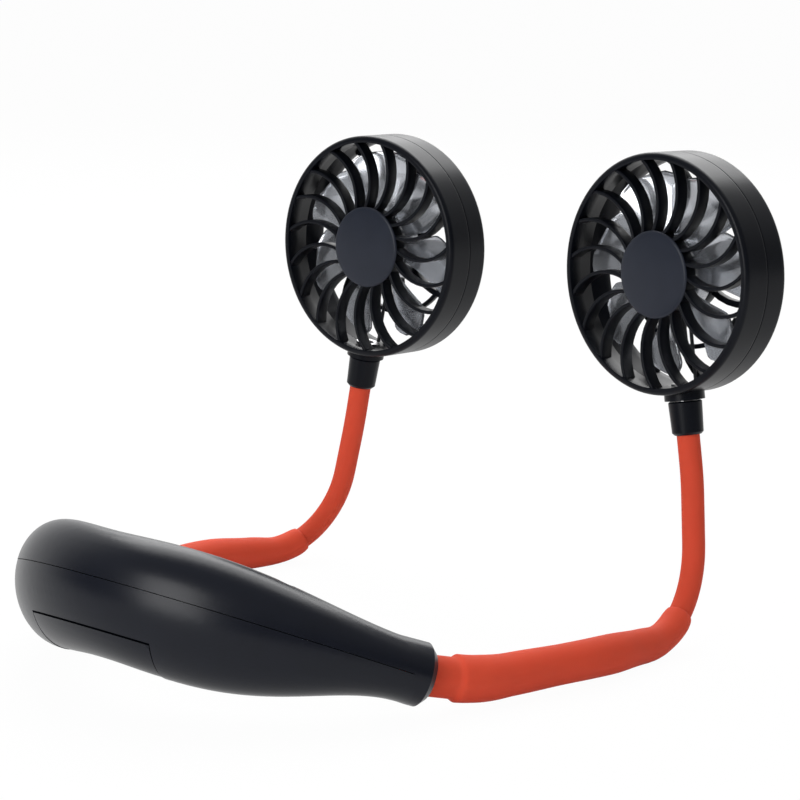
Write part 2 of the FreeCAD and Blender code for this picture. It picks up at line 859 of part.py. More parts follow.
def end_oval(side, inset, distance):
    """An oval square to the leg's own direction, past the end of the smooth form."""
    centre, ahead, out = spine_at(side)
    back = climb_at(side) * -1
    up = back.cross(out).normalize()
    level = up.cross(back)
    wide, tall = section_radii(side, 0.0)
    tall *= up.z
    ring = Part.Wire([
        oval_arc(wide - inset, tall - inset, 0, math.pi),
        oval_arc(wide - inset, tall - inset, math.pi, 2 * math.pi),
    ])
    spot = centre - back * (side * distance)
    ring.Placement = Placement(FreeCAD.Matrix(
        level.x, up.x, back.x, spot.x, level.y, up.y, back.y, spot.y,
        level.z, up.z, back.z, spot.z, 0, 0, 0, 1,
    ))
    return ring


def nose(name, side, bore):
    """The bevelled end of a leg, bored for the arm."""
    edge = end_oval(side, 0.0, size("nose_length"))
    face = end_oval(side, size("nose_bevel"), nose_reach())
    form = loft(name + "_form", [oval(side, 0), edge, face], True)
    return keep(cut(name, form, bore), name)


def nose_reach():
    return size("nose_length") + size("nose_bevel_length")


def leg_end(side):
    """Where the arm leaves the housing."""
    return spine_at(side)[0] + climb_at(side) * (side * nose_reach())


def arm_route(side, stem):
    """The arm's middle line from inside the ferrule down to inside the housing."""
    reach = size("head_diameter") / 2 + size("collar_height") + size("swivel_gap")
    top = stem.multVec(Vector(0, 0, reach + size("pivot_grip") + size("tube_stop")))
    below = stem.multVec(Vector(0, 0, reach + size("ferrule_length") + size("stem_straight")))
    end = leg_end(side)
    inward = climb_at(side) * -side
    elbow = Vector(
        side * (size("head_spacing") / 2 + size("elbow_x")),
        size("head_ahead") + size("elbow_y"), size("elbow_z"),
    )
    root = Vector(end.x + side * size("root_bow_x"), end.y + size("root_bow_y"), size("root_bow_z"))
    share = (size("flank_bow_y") - root.y) / (elbow.y - root.y)
    between = root + (elbow - root) * share
    flank = Vector(between.x + side * size("flank_bow_x"), between.y, size("flank_bow_z"))
    corner = end + inward * size("leg_bend_depth")
    last = end + inward * (size("sleeve_insertion") + size("anchor_gap") + size("anchor_length"))
    bends = ("stem_bend", "elbow_bend", "flank_bow_bend", "root_bow_bend", "leg_bend")
    points = [top, below, elbow, flank, root, corner, last]
    return route_edges(points, [size(bend) for bend in bends]), inward, last


def build_arm(name, side, stem):
    edges, inward, last = arm_route(side, stem)
    total = sum(edge.Length for edge in edges)
    hidden = size("ferrule_length") - size("pivot_grip") - size("tube_stop")
    mouth = hidden + size("tube_visible")
    sleeve_end = total - size("anchor_length") - size("anchor_gap")
    neck = sleeve_end - size("sleeve_insertion") - size("sleeve_neck_length")
    # thin tube that carries the head
    skin_wire = stretch(edges, 0, mouth + size("tube_insertion"))
    skin = swept(name + "_tube_skin", skin_wire, (0, "tube_radius"))
    hole = swept(name + "_tube_hole", skin_wire, (0, "tube_bore"))
    keep(cut(name + "_stem_tube", skin, hole), name + "_stem_tube")
    # thick sleeve, widest at the housing, with a narrower neck that goes inside
    wire = stretch(edges, mouth, neck)
    length = neck - mouth
    taper = swept(
        name + "_sleeve_taper", wire, (0, "sleeve_mouth_radius"),
        (length * 0.5, "sleeve_middle_radius"), (length, "sleeve_root_radius"),
    )
    plug_wire = stretch(edges, neck - size("weld"), sleeve_end)
    plug = swept(name + "_sleeve_neck", plug_wire, (0, "sleeve_neck_radius"))
    bore_wire = stretch(edges, mouth - size("overrun"), sleeve_end + size("overrun"))
    bore = swept(name + "_sleeve_bore", bore_wire, (0, "tube_radius + tube_fit"))
    whole = joined(name + "_sleeve_form", taper, plug)
    keep(cut(name + "_arm_sleeve", whole, bore), name + "_arm_sleeve")
    # soft metal core that holds the arm's bend, and the motor's lead beside it
    core = swept(name + "_core_wire", stretch(edges, 0, total), (0, "core_radius"))
    keep(core, name + "_core_wire")
    lead = swept(name + "_arm_lead", stretch(edges, 0, total), (0, "lead_radius"))
    lead.Placement = shifted(x=side * size("lead_offset"))
    keep(lead, name + "_arm_lead")
    # anchor that grips the core behind the sleeve
    start = last - inward * size("anchor_length")
    before = start - inward * size("overrun")
    block = solid(
        "Part::Cylinder", name + "_anchor_block", along_axis(start, inward),
        Radius="anchor_radius", Height="anchor_length",
    )
    grip = solid(
        "Part::Cylinder", name + "_anchor_grip", along_axis(before, inward),
        Radius="core_radius + core_fit", Height="anchor_length + 2 * overrun",
    )
    beside = before + Vector(side * size("lead_offset"), 0, 0)
    way = solid(
        "Part::Cylinder", name + "_anchor_way", along_axis(beside, inward),
        Radius="lead_radius + lead_fit", Height="anchor_length + 2 * overrun",
    )
    keep(cut(name + "_arm_anchor", block, grip, way), name + "_arm_anchor")
    way_wire = stretch(edges, neck, total)
    leg_bore = swept(name + "_leg_bore", way_wire, (0, "sleeve_neck_radius + sleeve_fit"))
    nose(name + "_leg_collar", side, leg_bore)
    return last + Vector(side * size("lead_offset"), 0, 0), inward


def height_on(shape, frame, x, y, sign):
    """How far a form's surface lies from a frame's plane, up or down its Z."""
    line = Part.makeLine(frame.multVec(Vector(x, y, 0)), frame.multVec(Vector(x, y, sign * 60)))
    inside = shape.common(line)
    return max(abs(frame.inverse().multVec(vertex.Point).z) for vertex in inside.Vertexes)


def build_housing():
    wall = size("housing_wall")
    form = crescent("housing_form", 0.0)
    doc.recompute()
    # control place on the +X leg: a frame along the leg, with Z up and towards the neck, and
    # the charging port's upright frame at the same place
    share = size("control_share")
    middle = spine_at(share)[0]
    roll = Placement(Vector(0, 0, 0), Rotation(Vector(1, 0, 0), -size("control_roll")))
    port = frame_at(middle, climb_at(share), Vector(0, 0, 1))
    spot = port * roll
    crest = height_on(form.Shape, spot, 0, 0, 1)
    belly = height_on(form.Shape, port, 0, 0, -1)
    board_top = size("board_height") + size("board_thickness")
    switch_top = board_top + size("switch_height") + size("plunger_height")
    floor = crest - size("dish_depth")
    lens_crest = height_on(form.Shape, spot, size("lens_shift"), 0, 1)
    # upper shell with the button's dish, the button's hole and the light's hole
    dish = solid(
        "Part::Cylinder", "button_dish", spot * shifted(z=floor),
        Radius="dish_radius", Height="tool_reach",
    )
    hole = solid(
        "Part::Cylinder", "button_hole", spot * shifted(z=board_top),
        Radius="button_radius + button_fit", Height="tool_reach",
    )
    pipe_hole = solid(
        "Part::Cylinder", "lens_hole", spot * shifted(x=size("lens_shift"), z=board_top),
        Radius="lens_radius + lens_fit", Height="tool_reach",
    )
    upper = half_shell("upper_half", True)
    keep(cut("upper_shell", upper, dish, hole, pipe_hole), "upper_shell")
    # lower shell with the battery door's rebate, the bay behind it and the charging slot
    sink = size("door_sink")
    under = sink + size("door_thickness")
    door = door_band("battery_door", sink, under, -size("door_gap"))
    keep(door, "battery_door")
    past = 2 * size("overrun")
    rebate = door_band("door_rebate", -past, under + size("door_gap"), 0.0)
    bay = door_band("door_bay", -past, wall + past, -size("door_ledge"))
    slot = doc.addObject("Part::Box", "charge_slot")
    bind(slot, Length="socket_width + 2 * socket_fit", Width="socket_depth + 2 * socket_fit")
    bind(slot, Height="tool_reach")
    fit = size("socket_fit")
    corner = (-size("socket_width") / 2 - fit, -size("socket_depth") / 2 - fit)
    below = size("board_height") - size("overrun") - size("tool_reach")
    slot.Placement = port * shifted(corner[0], corner[1], below)
    pillars = []
    pins = []
    for sign in (-1, 1):
        aside = sign * size("pillar_spacing") / 2
        foot = spot * shifted(x=aside, z=size("board_height") - size("tool_reach"))
        pillars.append(solid(
            "Part::Cylinder", "pillar", foot, Radius="pillar_radius", Height="tool_reach",
        ))
        top = spot * shifted(x=aside, z=size("board_height") - size("overrun"))
        pins.append(solid(
            "Part::Cylinder", "pin", top,
            Radius="pillar_pin", Height="overrun + board_thickness + pin_rise",
        ))
    root = crescent("pillar_form", wall - size("weld"))
    posts = shared("posts", joined("pillar_pair", *pillars), root)
    lower = cut("lower_open", half_shell("lower_half", False), rebate, bay, slot)
    keep(joined("lower_shell", lower, posts, *pins), "lower_shell")
    # battery pack behind the door, its front edges close to the neck-side wall
    nape = spine_at(0.0)[0]
    wide, tall = section_radii(0.0, wall)
    lean = math.sqrt(1 - (size("pack_height") / 2 / tall) ** 2)
    front = nape.y + wide * lean - size("pack_gap")
    block = doc.addObject("Part::Box", "pack_block")
    bind(block, Length="pack_length", Width="pack_thickness", Height="pack_height")
    block.Placement = shifted(
        -size("pack_length") / 2, front - size("pack_thickness"), nape.z - size("pack_height") / 2,
    )
    doc.recompute()
    pack = doc.addObject("Part::Fillet", "battery_pack")
    pack.Base = block
    pack.Edges = [(index + 1, size("pack_edge"), size("pack_edge")) for index in range(12)]
    keep(pack, "battery_pack")
    # board on two pillars
    plate = doc.addObject("Part::Box", "board_plate")
    bind(plate, Length="board_length", Width="board_width", Height="board_thickness")
    plate.Placement = spot * shifted(
        -size("board_length") / 2, -size("board_width") / 2, size("board_height"),
    )
    holes = []
    for sign in (-1, 1):
        aside = sign * size("pillar_spacing") / 2
        holes.append(solid(
            "Part::Cylinder", "board_hole",
            spot * shifted(x=aside, z=size("board_height") - size("overrun")),
            Radius="pillar_pin + pillar_fit", Height="board_thickness + 2 * overrun",
        ))
    keep(cut("control_board", plate, *holes), "control_board")
    # switch under the button
    base = doc.addObject("Part::Box", "switch_base")
    bind(base, Length="switch_side", Width="switch_side", Height="switch_height")
    base.Placement = spot * shifted(-size("switch_side") / 2, -size("switch_side") / 2, board_top)
    plunger = solid(
        "Part::Cylinder", "switch_plunger", spot * shifted(z=board_top + size("switch_height")),
        Radius="plunger_radius", Height="plunger_height",
    )
    keep(joined("button_switch", base, plunger), "button_switch")
    # button: domed cap in the dish, flange behind the shell, stem over the switch
    cap = floor + size("button_stand")
    flange = crest - size("housing_wall") - size("button_flange_drop")
    foot = switch_top + size("button_travel") + size("button_gap")
    button = new_body("power_button", spot)
    sketch = sketch_on(button, "XZ_Plane")
    profile = [
        (0.0, foot), (size("plunger_radius"), foot),
        (size("plunger_radius"), flange - size("button_flange_thickness")),
        (size("button_radius") + size("button_flange"), flange - size("button_flange_thickness")),
        (size("button_radius") + size("button_flange"), flange),
        (size("button_radius"), flange), (size("button_radius"), cap - size("button_edge")),
        (size("button_radius") - size("button_edge"), cap), (0.0, cap),
    ]
    for index, corner in enumerate(profile):
        after = profile[(index + 1) % len(profile)]
        line = Part.LineSegment(Vector(corner[0], corner[1], 0), Vector(after[0], after[1], 0))
        sketch.addGeometry(line)
        sketch.addConstraint(Sketcher.Constraint("Block", index))
    turn = button.newObject("PartDesign::Revolution", "Turned")
    turn.Profile = sketch
    turn.ReferenceAxis = (sketch, ["V_Axis"])
    turn.Angle = 360
    keep(button, "power_button")
    # light pipe from the board to the crest
    pipe = solid(
        "Part::Cylinder", "indicator_lens", spot * shifted(x=size("lens_shift"), z=board_top),
        Radius="lens_radius",
    )
    pipe.Height = lens_crest - size("lens_recess") - board_top
    keep(pipe, "indicator_lens")
    # charging socket that hangs under the board and opens straight below
    head = size("board_height") - size("socket_drop")
    deep = belly - size("socket_recess") + head
    can = doc.addObject("Part::Box", "socket_can")
    bind(can, Length="socket_width", Width="socket_depth")
    can.Height = deep
    can.Placement = port * shifted(
        -size("socket_width") / 2, -size("socket_depth") / 2, head - deep,
    )
    well = doc.addObject("Part::Box", "socket_well")
    bind(well, Length="socket_width - 2 * socket_wall", Width="socket_depth - 2 * socket_wall")
    bind(well, Height="socket_cavity + overrun")
    rim = size("socket_wall")
    well.Placement = port * shifted(
        rim - size("socket_width") / 2, rim - size("socket_depth") / 2,
        head - deep - size("overrun"),
    )
    tongue = doc.addObject("Part::Box", "socket_tongue")
    bind(tongue, Length="tongue_width", Width="tongue_thickness", Height="socket_cavity")
    tongue.Placement = port * shifted(
        -size("tongue_width") / 2, -size("tongue_thickness") / 2,
        head - deep + size("tongue_recess"),
    )
    keep(joined("charge_socket", cut("socket_shell", can, well), tongue), "charge_socket")
    return spot, front


def build_wiring(spot, ends, front):
    """Leads inside the housing: from each arm and from the battery to the board."""
    edge = size("board_length") / 2 + size("wire_gap") + size("wire_radius")
    middle = size("board_height") + size("board_thickness") / 2
    right_end, right_way = ends["right"]
    left_end, left_way = ends["left"]
    gap = size("wire_gap") + size("wire_radius")
    start = right_end + right_way * gap
    stop = spot.multVec(Vector(edge, 0, middle))
    bar = Part.makeLine(start, stop)
    keep(swept("right_board_lead", Part.Wire([bar]), (0, "wire_radius")), "right_board_lead")
    nape = spine_at(0.0)[0]
    back = size("nape_width") / 2 - size("housing_wall") - size("wire_clearance")
    run = size("wire_straight")
    aside = size("wire_spacing")
    points = [left_end + left_way * gap, left_end + left_way * run]
    for share in (-0.5, -0.25, 0.0, 0.22):
        centre, ahead, out = spine_at(share)
        points.append(centre + out * (back * (1 - share * share)))
    points.append(spot.multVec(Vector(-edge - run, -aside, middle)))
    points.append(spot.multVec(Vector(-edge, -aside, middle)))
    edges = route_edges(points, easy_bends(points))
    keep(swept("left_board_lead", Part.Wire(edges), (0, "wire_radius")), "left_board_lead")
    pack_end = size("pack_length") / 2 + size("wire_gap")
    behind = front - size("pack_thickness") / 2
    points = [
        Vector(pack_end, behind, nape.z), Vector(pack_end + run / 2, behind, nape.z),
        spot.multVec(Vector(-edge - run, aside, middle)), spot.multVec(Vector(-edge, aside, middle)),
    ]
    edges = route_edges(points, easy_bends(points))
    keep(swept("battery_lead", Part.Wire(edges), (0, "wire_radius")), "battery_lead")


ends = {}
for name, side in (("right", 1), ("left", -1)):
    stem = build_head(name, side)
    ends[name] = build_arm(name, side, stem)
spot, front = build_housing()
build_wiring(spot, ends, front)
doc.recompute()

failed = [item.Name for item in doc.Objects if "Invalid" in item.State or "Error" in item.State]
for node in nodes:
    shape = node.Shape
    if shape.isNull() or not shape.isValid() or shape.Volume < 0.1:
        failed.append(node.Label)
if failed:
    raise RuntimeError("not built: " + ", ".join(failed))
os.makedirs("parts", exist_ok=True)
for node in nodes:
    node.Shape.exportStep("parts/%s.step" % node.Label)
print("pieces", len(nodes))
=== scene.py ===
import json
import math

import bmesh
import bpy
from bpy.props import FloatProperty, FloatVectorProperty, IntProperty, PointerProperty
from mathutils import Matrix, Vector


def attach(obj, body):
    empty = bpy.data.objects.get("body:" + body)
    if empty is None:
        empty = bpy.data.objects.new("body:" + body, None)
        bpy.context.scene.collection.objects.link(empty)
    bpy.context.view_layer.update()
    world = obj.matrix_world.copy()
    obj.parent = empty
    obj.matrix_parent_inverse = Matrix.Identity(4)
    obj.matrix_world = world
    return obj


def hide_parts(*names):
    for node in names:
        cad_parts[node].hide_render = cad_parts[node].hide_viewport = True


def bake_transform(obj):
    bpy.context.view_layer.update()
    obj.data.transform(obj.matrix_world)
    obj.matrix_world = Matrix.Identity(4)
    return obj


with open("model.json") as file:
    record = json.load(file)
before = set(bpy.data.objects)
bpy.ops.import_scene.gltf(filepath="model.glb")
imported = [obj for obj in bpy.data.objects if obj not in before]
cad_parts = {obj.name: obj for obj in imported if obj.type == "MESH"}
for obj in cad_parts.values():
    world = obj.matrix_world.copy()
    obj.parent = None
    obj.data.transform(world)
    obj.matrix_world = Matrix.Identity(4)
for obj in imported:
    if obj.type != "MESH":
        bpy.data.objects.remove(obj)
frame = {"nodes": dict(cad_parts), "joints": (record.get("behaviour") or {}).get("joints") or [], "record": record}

bl_info = {
    "name": "Neck fan",
    "version": (1, 0, 0),
    "blender": (4, 5, 0),
    "location": "View3D > Sidebar > Neck fan",
    "description": "Dresses a wearable fan with moulded shells, silicone arms and clear impellers",
    "category": "Object",
}

SIDES = ("right", "left")
NODES = frame["nodes"]
JOINTS = {joint["name"]: joint for joint in frame["joints"]}
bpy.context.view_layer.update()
Z_AXIS = Vector((0, 0, 1))
NO_SHIFT = Vector((0, 0, 0))

# Small measures that all mouldings share, in metres
SUPPORT = 0.0004    # line beside a rounding, which keeps its shading clean
ROOTED = 0.0005     # how far a vane, spoke or blade runs into the hub
TUCKED = 0.0004     # how far a vane or spoke runs into the ring
LIP_SLOPE = 0.001   # from a ring's lip back to its thinner wall
FINE_EDGE = 0.0001  # roundings, from the finest to the softest
CAP_EDGE = 0.0002
CUP_EDGE = 0.00025
SOFT_EDGE = 0.0003
WELD = 1e-7         # corners of a new form closer than this are one
JOIN = 1e-6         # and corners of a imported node's loose triangles
RING_STEP = 0.0012  # between two rings of a hose

# Steps round a turned form, and sides of a hose
LARGE_ROUND = 128
MIDDLE_ROUND = 96
SMALL_ROUND = 64
THICK_SIDES = 40
THIN_SIDES = 12

# Each lamp's place, what it points at, its size and its share of the stage's lamp power
LAMPS = {
    "key": ((-0.32, 0.46, 1.0), (0.0, -0.02, 0.05), (1.1, 0.8), 1.08),
    "fill": ((0.10, -1.2, 0.50), (0.0, 0.0, 0.06), (0.60, 0.92), 1.05),
    "rim": ((-0.62, 1.05, 0.80), (0.0, 0.0, 0.08), (1.2, 0.8), 0.72),
}


def length_of(label, text, default):
    """A length in metres that a user may change."""
    return FloatProperty(name=label, description=text, default=default, unit="LENGTH", precision=5)


def angle_of(label, text, degrees):
    """An angle, given in degrees."""
    return FloatProperty(name=label, description=text, default=math.radians(degrees), subtype="ANGLE")


def level_of(label, text, default, most=100.0):
    """A plain number from nothing upwards."""
    return FloatProperty(name=label, description=text, default=default, min=0.0, max=most)


def colour_of(label, text, default):
    """A linear colour."""
    return FloatVectorProperty(
        name=label, description=text, default=default, subtype="COLOR", min=0.0, max=1.0
    )


def place_of(label, text, default):
    """A point, or a direction, in the part's frame."""
    return FloatVectorProperty(name=label, description=text, default=default, subtype="TRANSLATION")


class HeadSizes(bpy.types.PropertyGroup):
    radius: length_of("Radius", "Outside of a fan head", 0.035)
    depth: length_of("Depth", "Front to back of a fan head", 0.0172)
    wall: length_of("Wall", "Thickness of the round wall", 0.0017)
    rim_width: length_of("Rim width", "Width of the lip in front", 0.0021)
    lip_round: length_of("Lip round", "Rounding of the outer edges", 0.0013)
    seam: length_of("Seam", "How far behind the middle the two shells meet", 0.0005)
    seam_gap: length_of("Seam gap", "Open line between the two shells", 0.00022)
    seam_depth: length_of("Seam depth", "How deep that line is", 0.0006)
    setback: length_of("Setback", "How far the vanes lie behind the lip", 0.0003)
    vane_count: IntProperty(name="Vanes", description="Vanes of the swirl", default=19, min=3)
    vane_depth: length_of("Vane depth", "Front to back of a vane", 0.0044)
    vane_width: length_of("Vane width", "Thickness of a vane", 0.0011)
    vane_round: length_of("Vane round", "Rounding of a vane's edges", 0.00032)
    vane_start: angle_of("Vane start", "Where the first vane leaves the hub", 11.3)
    vane_bow: angle_of("Vane bow", "How far a vane bows back half-way out", 7.3)
    vane_sweep: angle_of("Vane sweep", "How far a vane ends swept forward", 4.0)
    hub_radius: length_of("Hub radius", "Ring that carries the vanes", 0.0123)
    hub_bore: length_of("Hub bore", "Hole of that ring", 0.0094)
    cap_radius: length_of("Cap radius", "Cap over the hub", 0.0128)
    cap_rise: length_of("Cap rise", "How far the cap stands proud of the lip", 0.0009)
    cap_dome: length_of("Cap dome", "How far the cap falls from its middle to its edge", 0.0007)
    cap_slope: length_of("Cap slope", "Slope round the edge of the cap", 0.0005)
    plug_depth: length_of("Plug depth", "How far the cap's plug goes into the hub", 0.0016)
    plug_fit: length_of("Plug fit", "Room round that plug", 0.00015)
    spoke_count: IntProperty(name="Spokes", description="Spokes behind the impeller", default=10, min=3)
    spoke_depth: length_of("Spoke depth", "Front to back of a spoke", 0.0022)
    spoke_width: length_of("Spoke width", "Thickness of a spoke", 0.0020)
    spoke_sweep: angle_of("Spoke sweep", "How far a spoke ends swept round", 24.0)
    guard_radius: length_of("Guard radius", "Ring across the spokes", 0.022)
    guard_half: length_of("Guard half", "Half the thickness of that ring", 0.0007)
    guard_depth: length_of("Guard depth", "Front to back of that ring", 0.0018)
    seat_radius: length_of("Seat radius", "Plate that carries the motor", 0.0114)
    seat_bore: length_of("Seat bore", "Pocket in that plate for the motor", 0.00945)
    seat_floor: length_of("Seat floor", "Thickness of the plate below the motor", 0.0015)
    seat_depth: length_of("Seat depth", "Front to back of the wall round the motor", 0.0037)
    blade_count: IntProperty(name="Blades", description="Blades of an impeller", default=7, min=2)
    blade_reach: length_of("Blade reach", "Radius at the blade tips", 0.0298)
    blade_root_chord: length_of("Root chord", "Width of a blade at the cup", 0.0100)
    blade_tip_chord: length_of("Tip chord", "Width of a blade near its tip", 0.0226)
    blade_root_pitch: angle_of("Root pitch", "Slant of a blade at the cup", 38.0)
    blade_tip_pitch: angle_of("Tip pitch", "Slant of a blade at its tip", 19.0)
    blade_wall: length_of("Blade wall", "Thickness of a blade", 0.0008)
    blade_camber: length_of("Blade camber", "How far a blade is hollowed", 0.0011)
    blade_setback: length_of("Blade setback", "How far the blades lie behind the middle", 0.0007)
    cup_radius: length_of("Cup radius", "Cup round the motor", 0.0116)
    cup_front: length_of("Cup front", "Front of the cup before the middle", 0.003)
    cup_back: length_of("Cup back", "Back of the cup behind the middle", 0.0041)
    cup_wall: length_of("Cup wall", "Thickness of the cup's wall", 0.0011)
    cup_floor: length_of("Cup floor", "Thickness of the cup's front", 0.0013)
    cup_slope: length_of("Cup slope", "Slope round the cup's front", 0.0010)
    cup_draft: length_of("Cup draft", "How far the cup's front thickens outwards", 0.0003)
    boss_radius: length_of("Boss radius", "Boss round the motor's shaft", 0.0028)
    shaft_radius: length_of("Shaft radius", "Hole for the motor's shaft", 0.001)


class ArmSizes(bpy.types.PropertyGroup):
    tube_radius: length_of("Tube radius", "Thin tube under a head", 0.00335)
    mouth_radius: length_of("Mouth radius", "Sleeve where the thin tube enters", 0.0041)
    middle_radius: length_of("Middle radius", "Sleeve half-way", 0.00555)
    root_radius: length_of("Root radius", "Sleeve beside the housing", 0.00645)
    neck_radius: length_of("Neck radius", "Sleeve inside the housing's end", 0.0056)
    core_radius: length_of("Core radius", "Wire that holds the bend", 0.001)
    lead_radius: length_of("Lead radius", "Motor lead beside the core", 0.00055)
    elbow: place_of("Elbow", "Corner below the head", (0.0752, 0.07527, 0.0025))
    flank_bow: place_of("Flank bow", "Corner beside the neck", (0.081163, 0.02432, 0.00701))
    root_bow: place_of("Root bow", "Corner ahead of the housing", (0.073694, -0.017555, 0.0076))
    leg_way: place_of("Leg way", "Direction into the housing", (-0.4543, -0.8274, 0.3301))
    bends: FloatVectorProperty(
        name="Bends", description="Radius of the arm's line at each corner, from the head down",
        default=(0.120, 0.0273, 0.072, 0.058, 0.012), size=5, unit="LENGTH",
    )
    top_drop: length_of("Top drop", "From a head's middle down to the tube's top", 0.0405)
    stem_drop: length_of("Stem drop", "From a head's middle down to the first bend", 0.060)
    leg_start: length_of("Leg start", "From the spread hinge to the last bend", 0.0012)
    leg_end: length_of("Leg end", "From the spread hinge to the end of the arm's line", 0.0162)
    right_mouth: length_of("Right mouth", "Where the right sleeve begins along the arm", 0.0611)
    left_mouth: length_of("Left mouth", "Where the left sleeve begins along the arm", 0.0630)
    covered: length_of("Covered", "Stretch of the tube inside the ferrule", 0.0065)
    lap: length_of("Lap", "How far the tube runs on inside the sleeve", 0.014)
    neck_length: length_of("Neck length", "Stretch of the sleeve inside the housing's end", 0.0185)
    tail: length_of("Tail", "Wire and lead beyond the sleeve's end", 0.0062)
    split: length_of("Split", "Where wire and lead pass from the upper bend to the lower", 0.110)
    lead_aside: length_of("Lead aside", "How far the lead lies beside the wire", 0.00185)
    spread_back: length_of("Spread back", "From the sleeve's end back to the spread hinge", 0.010)
    spread_in: length_of("Spread in", "Stretch inside that hinge that gives way", 0.004)
    spread_out: length_of("Spread out", "Stretch outside that hinge that gives way", 0.022)


class HousingSizes(bpy.types.PropertyGroup):
    door_sink: length_of("Door sink", "How far the packed door lies below the housing's skin", 0.00035)
    rim_depth: length_of("Rim depth", "Stretch of the charging socket that counts as its rim", 0.0008)
    rim_draw: length_of("Rim draw", "How far that rim is drawn back", 0.0011)
    door_facing: level_of("Door facing", "Least share of a face's normal that points away", 0.2, 1.0)


class Finishes(bpy.types.PropertyGroup):
    shell: colour_of("Shell", "Moulded housing", (0.0046, 0.0058, 0.0106))
    grille: colour_of("Grille", "Moulded heads", (0.0030, 0.0038, 0.0064))
    cap: colour_of("Cap", "Hub caps", (0.0135, 0.0168, 0.0270))
    silicone: colour_of("Silicone", "Arms", (0.585, 0.068, 0.034))
    clear: colour_of("Clear", "Impellers", (0.60, 0.62, 0.66))
    steel: colour_of("Steel", "Motors and metal fittings", (0.50, 0.50, 0.51))
    skin: colour_of("Skin", "Insulation of the leads", (0.03, 0.03, 0.034))
    board: colour_of("Board", "Circuit board", (0.015, 0.12, 0.05))
    wrap: colour_of("Wrap", "Battery sleeve", (0.04, 0.13, 0.30))
    floor: colour_of("Floor", "Floor and backdrop", (0.86, 0.86, 0.86))


class StageSettings(bpy.types.PropertyGroup):
    camera: place_of("Camera", "Where the camera stands", (0.543655, -0.538854, 0.216109))
    azimuth: angle_of("Azimuth", "Turn of the camera about the vertical", 43.713)
    elevation: angle_of("Elevation", "How far the camera looks down", 10.707)
    roll: angle_of("Roll", "Turn of the camera about its own line", 0.143)
    lens: FloatProperty(
        name="Lens", description="Focal length", default=123.31, subtype="DISTANCE_CAMERA"
    )
    sky: level_of("Sky", "Level of the light overhead", 0.48)
    wall: level_of("Wall", "Level of the light near the horizon", 0.11)
    white: level_of("White", "Share of plain white in the floor", 0.97, 1.0)
    power: level_of("Power", "Lamp power that each lamp has its share of", 10.0)
    floor_half: length_of("Floor half", "Half the width of the floor", 6.0)


class NeckFan(bpy.types.PropertyGroup):
    head: PointerProperty(type=HeadSizes)
    arm: PointerProperty(type=ArmSizes)
    housing: PointerProperty(type=HousingSizes)
    finish: PointerProperty(type=Finishes)
    stage: PointerProperty(type=StageSettings)


def settings():
    """All the values that a user may change."""
    return bpy.context.scene.neck_fan


class Value:
    """One socket of a material, on which Python's operators add Math nodes."""

    def __init__(self, finish, socket):
        self.finish = finish
        self.socket = socket

    def math(self, operation, first, second):
        return self.finish.node("ShaderNodeMath", {"operation": operation}, {0: first, 1: second})

    def __add__(self, other):
        return self.math("ADD", self, other)

    def __radd__(self, other):
        return self.math("ADD", other, self)

    def __sub__(self, other):
        return self.math("SUBTRACT", self, other)

    def __rsub__(self, other):
        return self.math("SUBTRACT", other, self)

    def __mul__(self, other):
        return self.math("MULTIPLY", self, other)

    def __rmul__(self, other):
        return self.math("MULTIPLY", other, self)


class Finish:
    """A material, or the studio's surround, that is being made."""

    def __init__(self, name, world=False):
        self.owner = bpy.data.worlds.new(name) if world else bpy.data.materials.new(name)
        self.result = "ShaderNodeOutputWorld" if world else "ShaderNodeOutputMaterial"
        self.owner.use_nodes = True
        self.tree = self.owner.node_tree
        self.tree.nodes.clear()
        self.place = self.node("ShaderNodeTexCoord", out="Generated" if world else "Object")

    def node(self, kind, choices=None, values=None, out=0):
        """A node with its choices set first, then the values or links of its sockets."""
        made = self.tree.nodes.new(kind)
        for name, choice in (choices or {}).items():
            setattr(made, name, choice)
        for name, value in (values or {}).items():
            socket = made.inputs[name]
            if isinstance(value, Value):
                self.tree.links.new(value.socket, socket)
            else:
                socket.default_value = value
        return Value(self, made.outputs[out])

    def noise(self, scale, detail=2.0, roughness=0.5):
        values = {"Vector": self.place, "Scale": scale, "Detail": detail, "Roughness": roughness}
        return self.node("ShaderNodeTexNoise", None, values, "Fac")

    def between(self, value, low, high):
        """A value from 0 to 1 spread between two numbers."""
        return value * (high - low) + low

    def mixed(self, share, first, second):
        """Two colours by a share, through the colour sockets of a Mix node."""
        values = {0: share, 6: first, 7: second}
        return self.node("ShaderNodeMix", {"data_type": "RGBA"}, values, 2)

    def larger(self, first, second):
        return self.node("ShaderNodeMath", {"operation": "MAXIMUM"}, {0: first, 1: second})

    def spread(self, value, low, high, first=0.0, last=1.0):
        """A value eased from first to last as it goes from low to high."""
        values = {"Value": value, "From Min": low, "From Max": high, "To Min": first, "To Max": last}
        return self.node("ShaderNodeMapRange", {"interpolation_type": "SMOOTHSTEP"}, values)

    def seen(self, mirrored):
        """1 where the camera looks straight or through clear plastic, and mirrored in a reflection."""
        straight = self.node("ShaderNodeLightPath", out="Is Camera Ray")
        through = self.node("ShaderNodeLightPath", out="Is Transmission Ray")
        glossy = self.node("ShaderNodeLightPath", out="Is Glossy Ray")
        return self.larger(self.larger(straight, through), glossy * mirrored)

    def bump(self, height, strength, distance):
        values = {"Strength": strength, "Distance": distance, "Height": height}
        return self.node("ShaderNodeBump", None, values, "Normal")

    def done(self, shader):
        output = self.tree.nodes.new(self.result)
        self.tree.links.new(shader.socket, output.inputs["Surface"])
        return self.owner


def tinted(colour, factor):
    """A colour made darker or lighter, with its alpha."""
    return [min(1.0, part * factor) for part in colour] + [1.0]


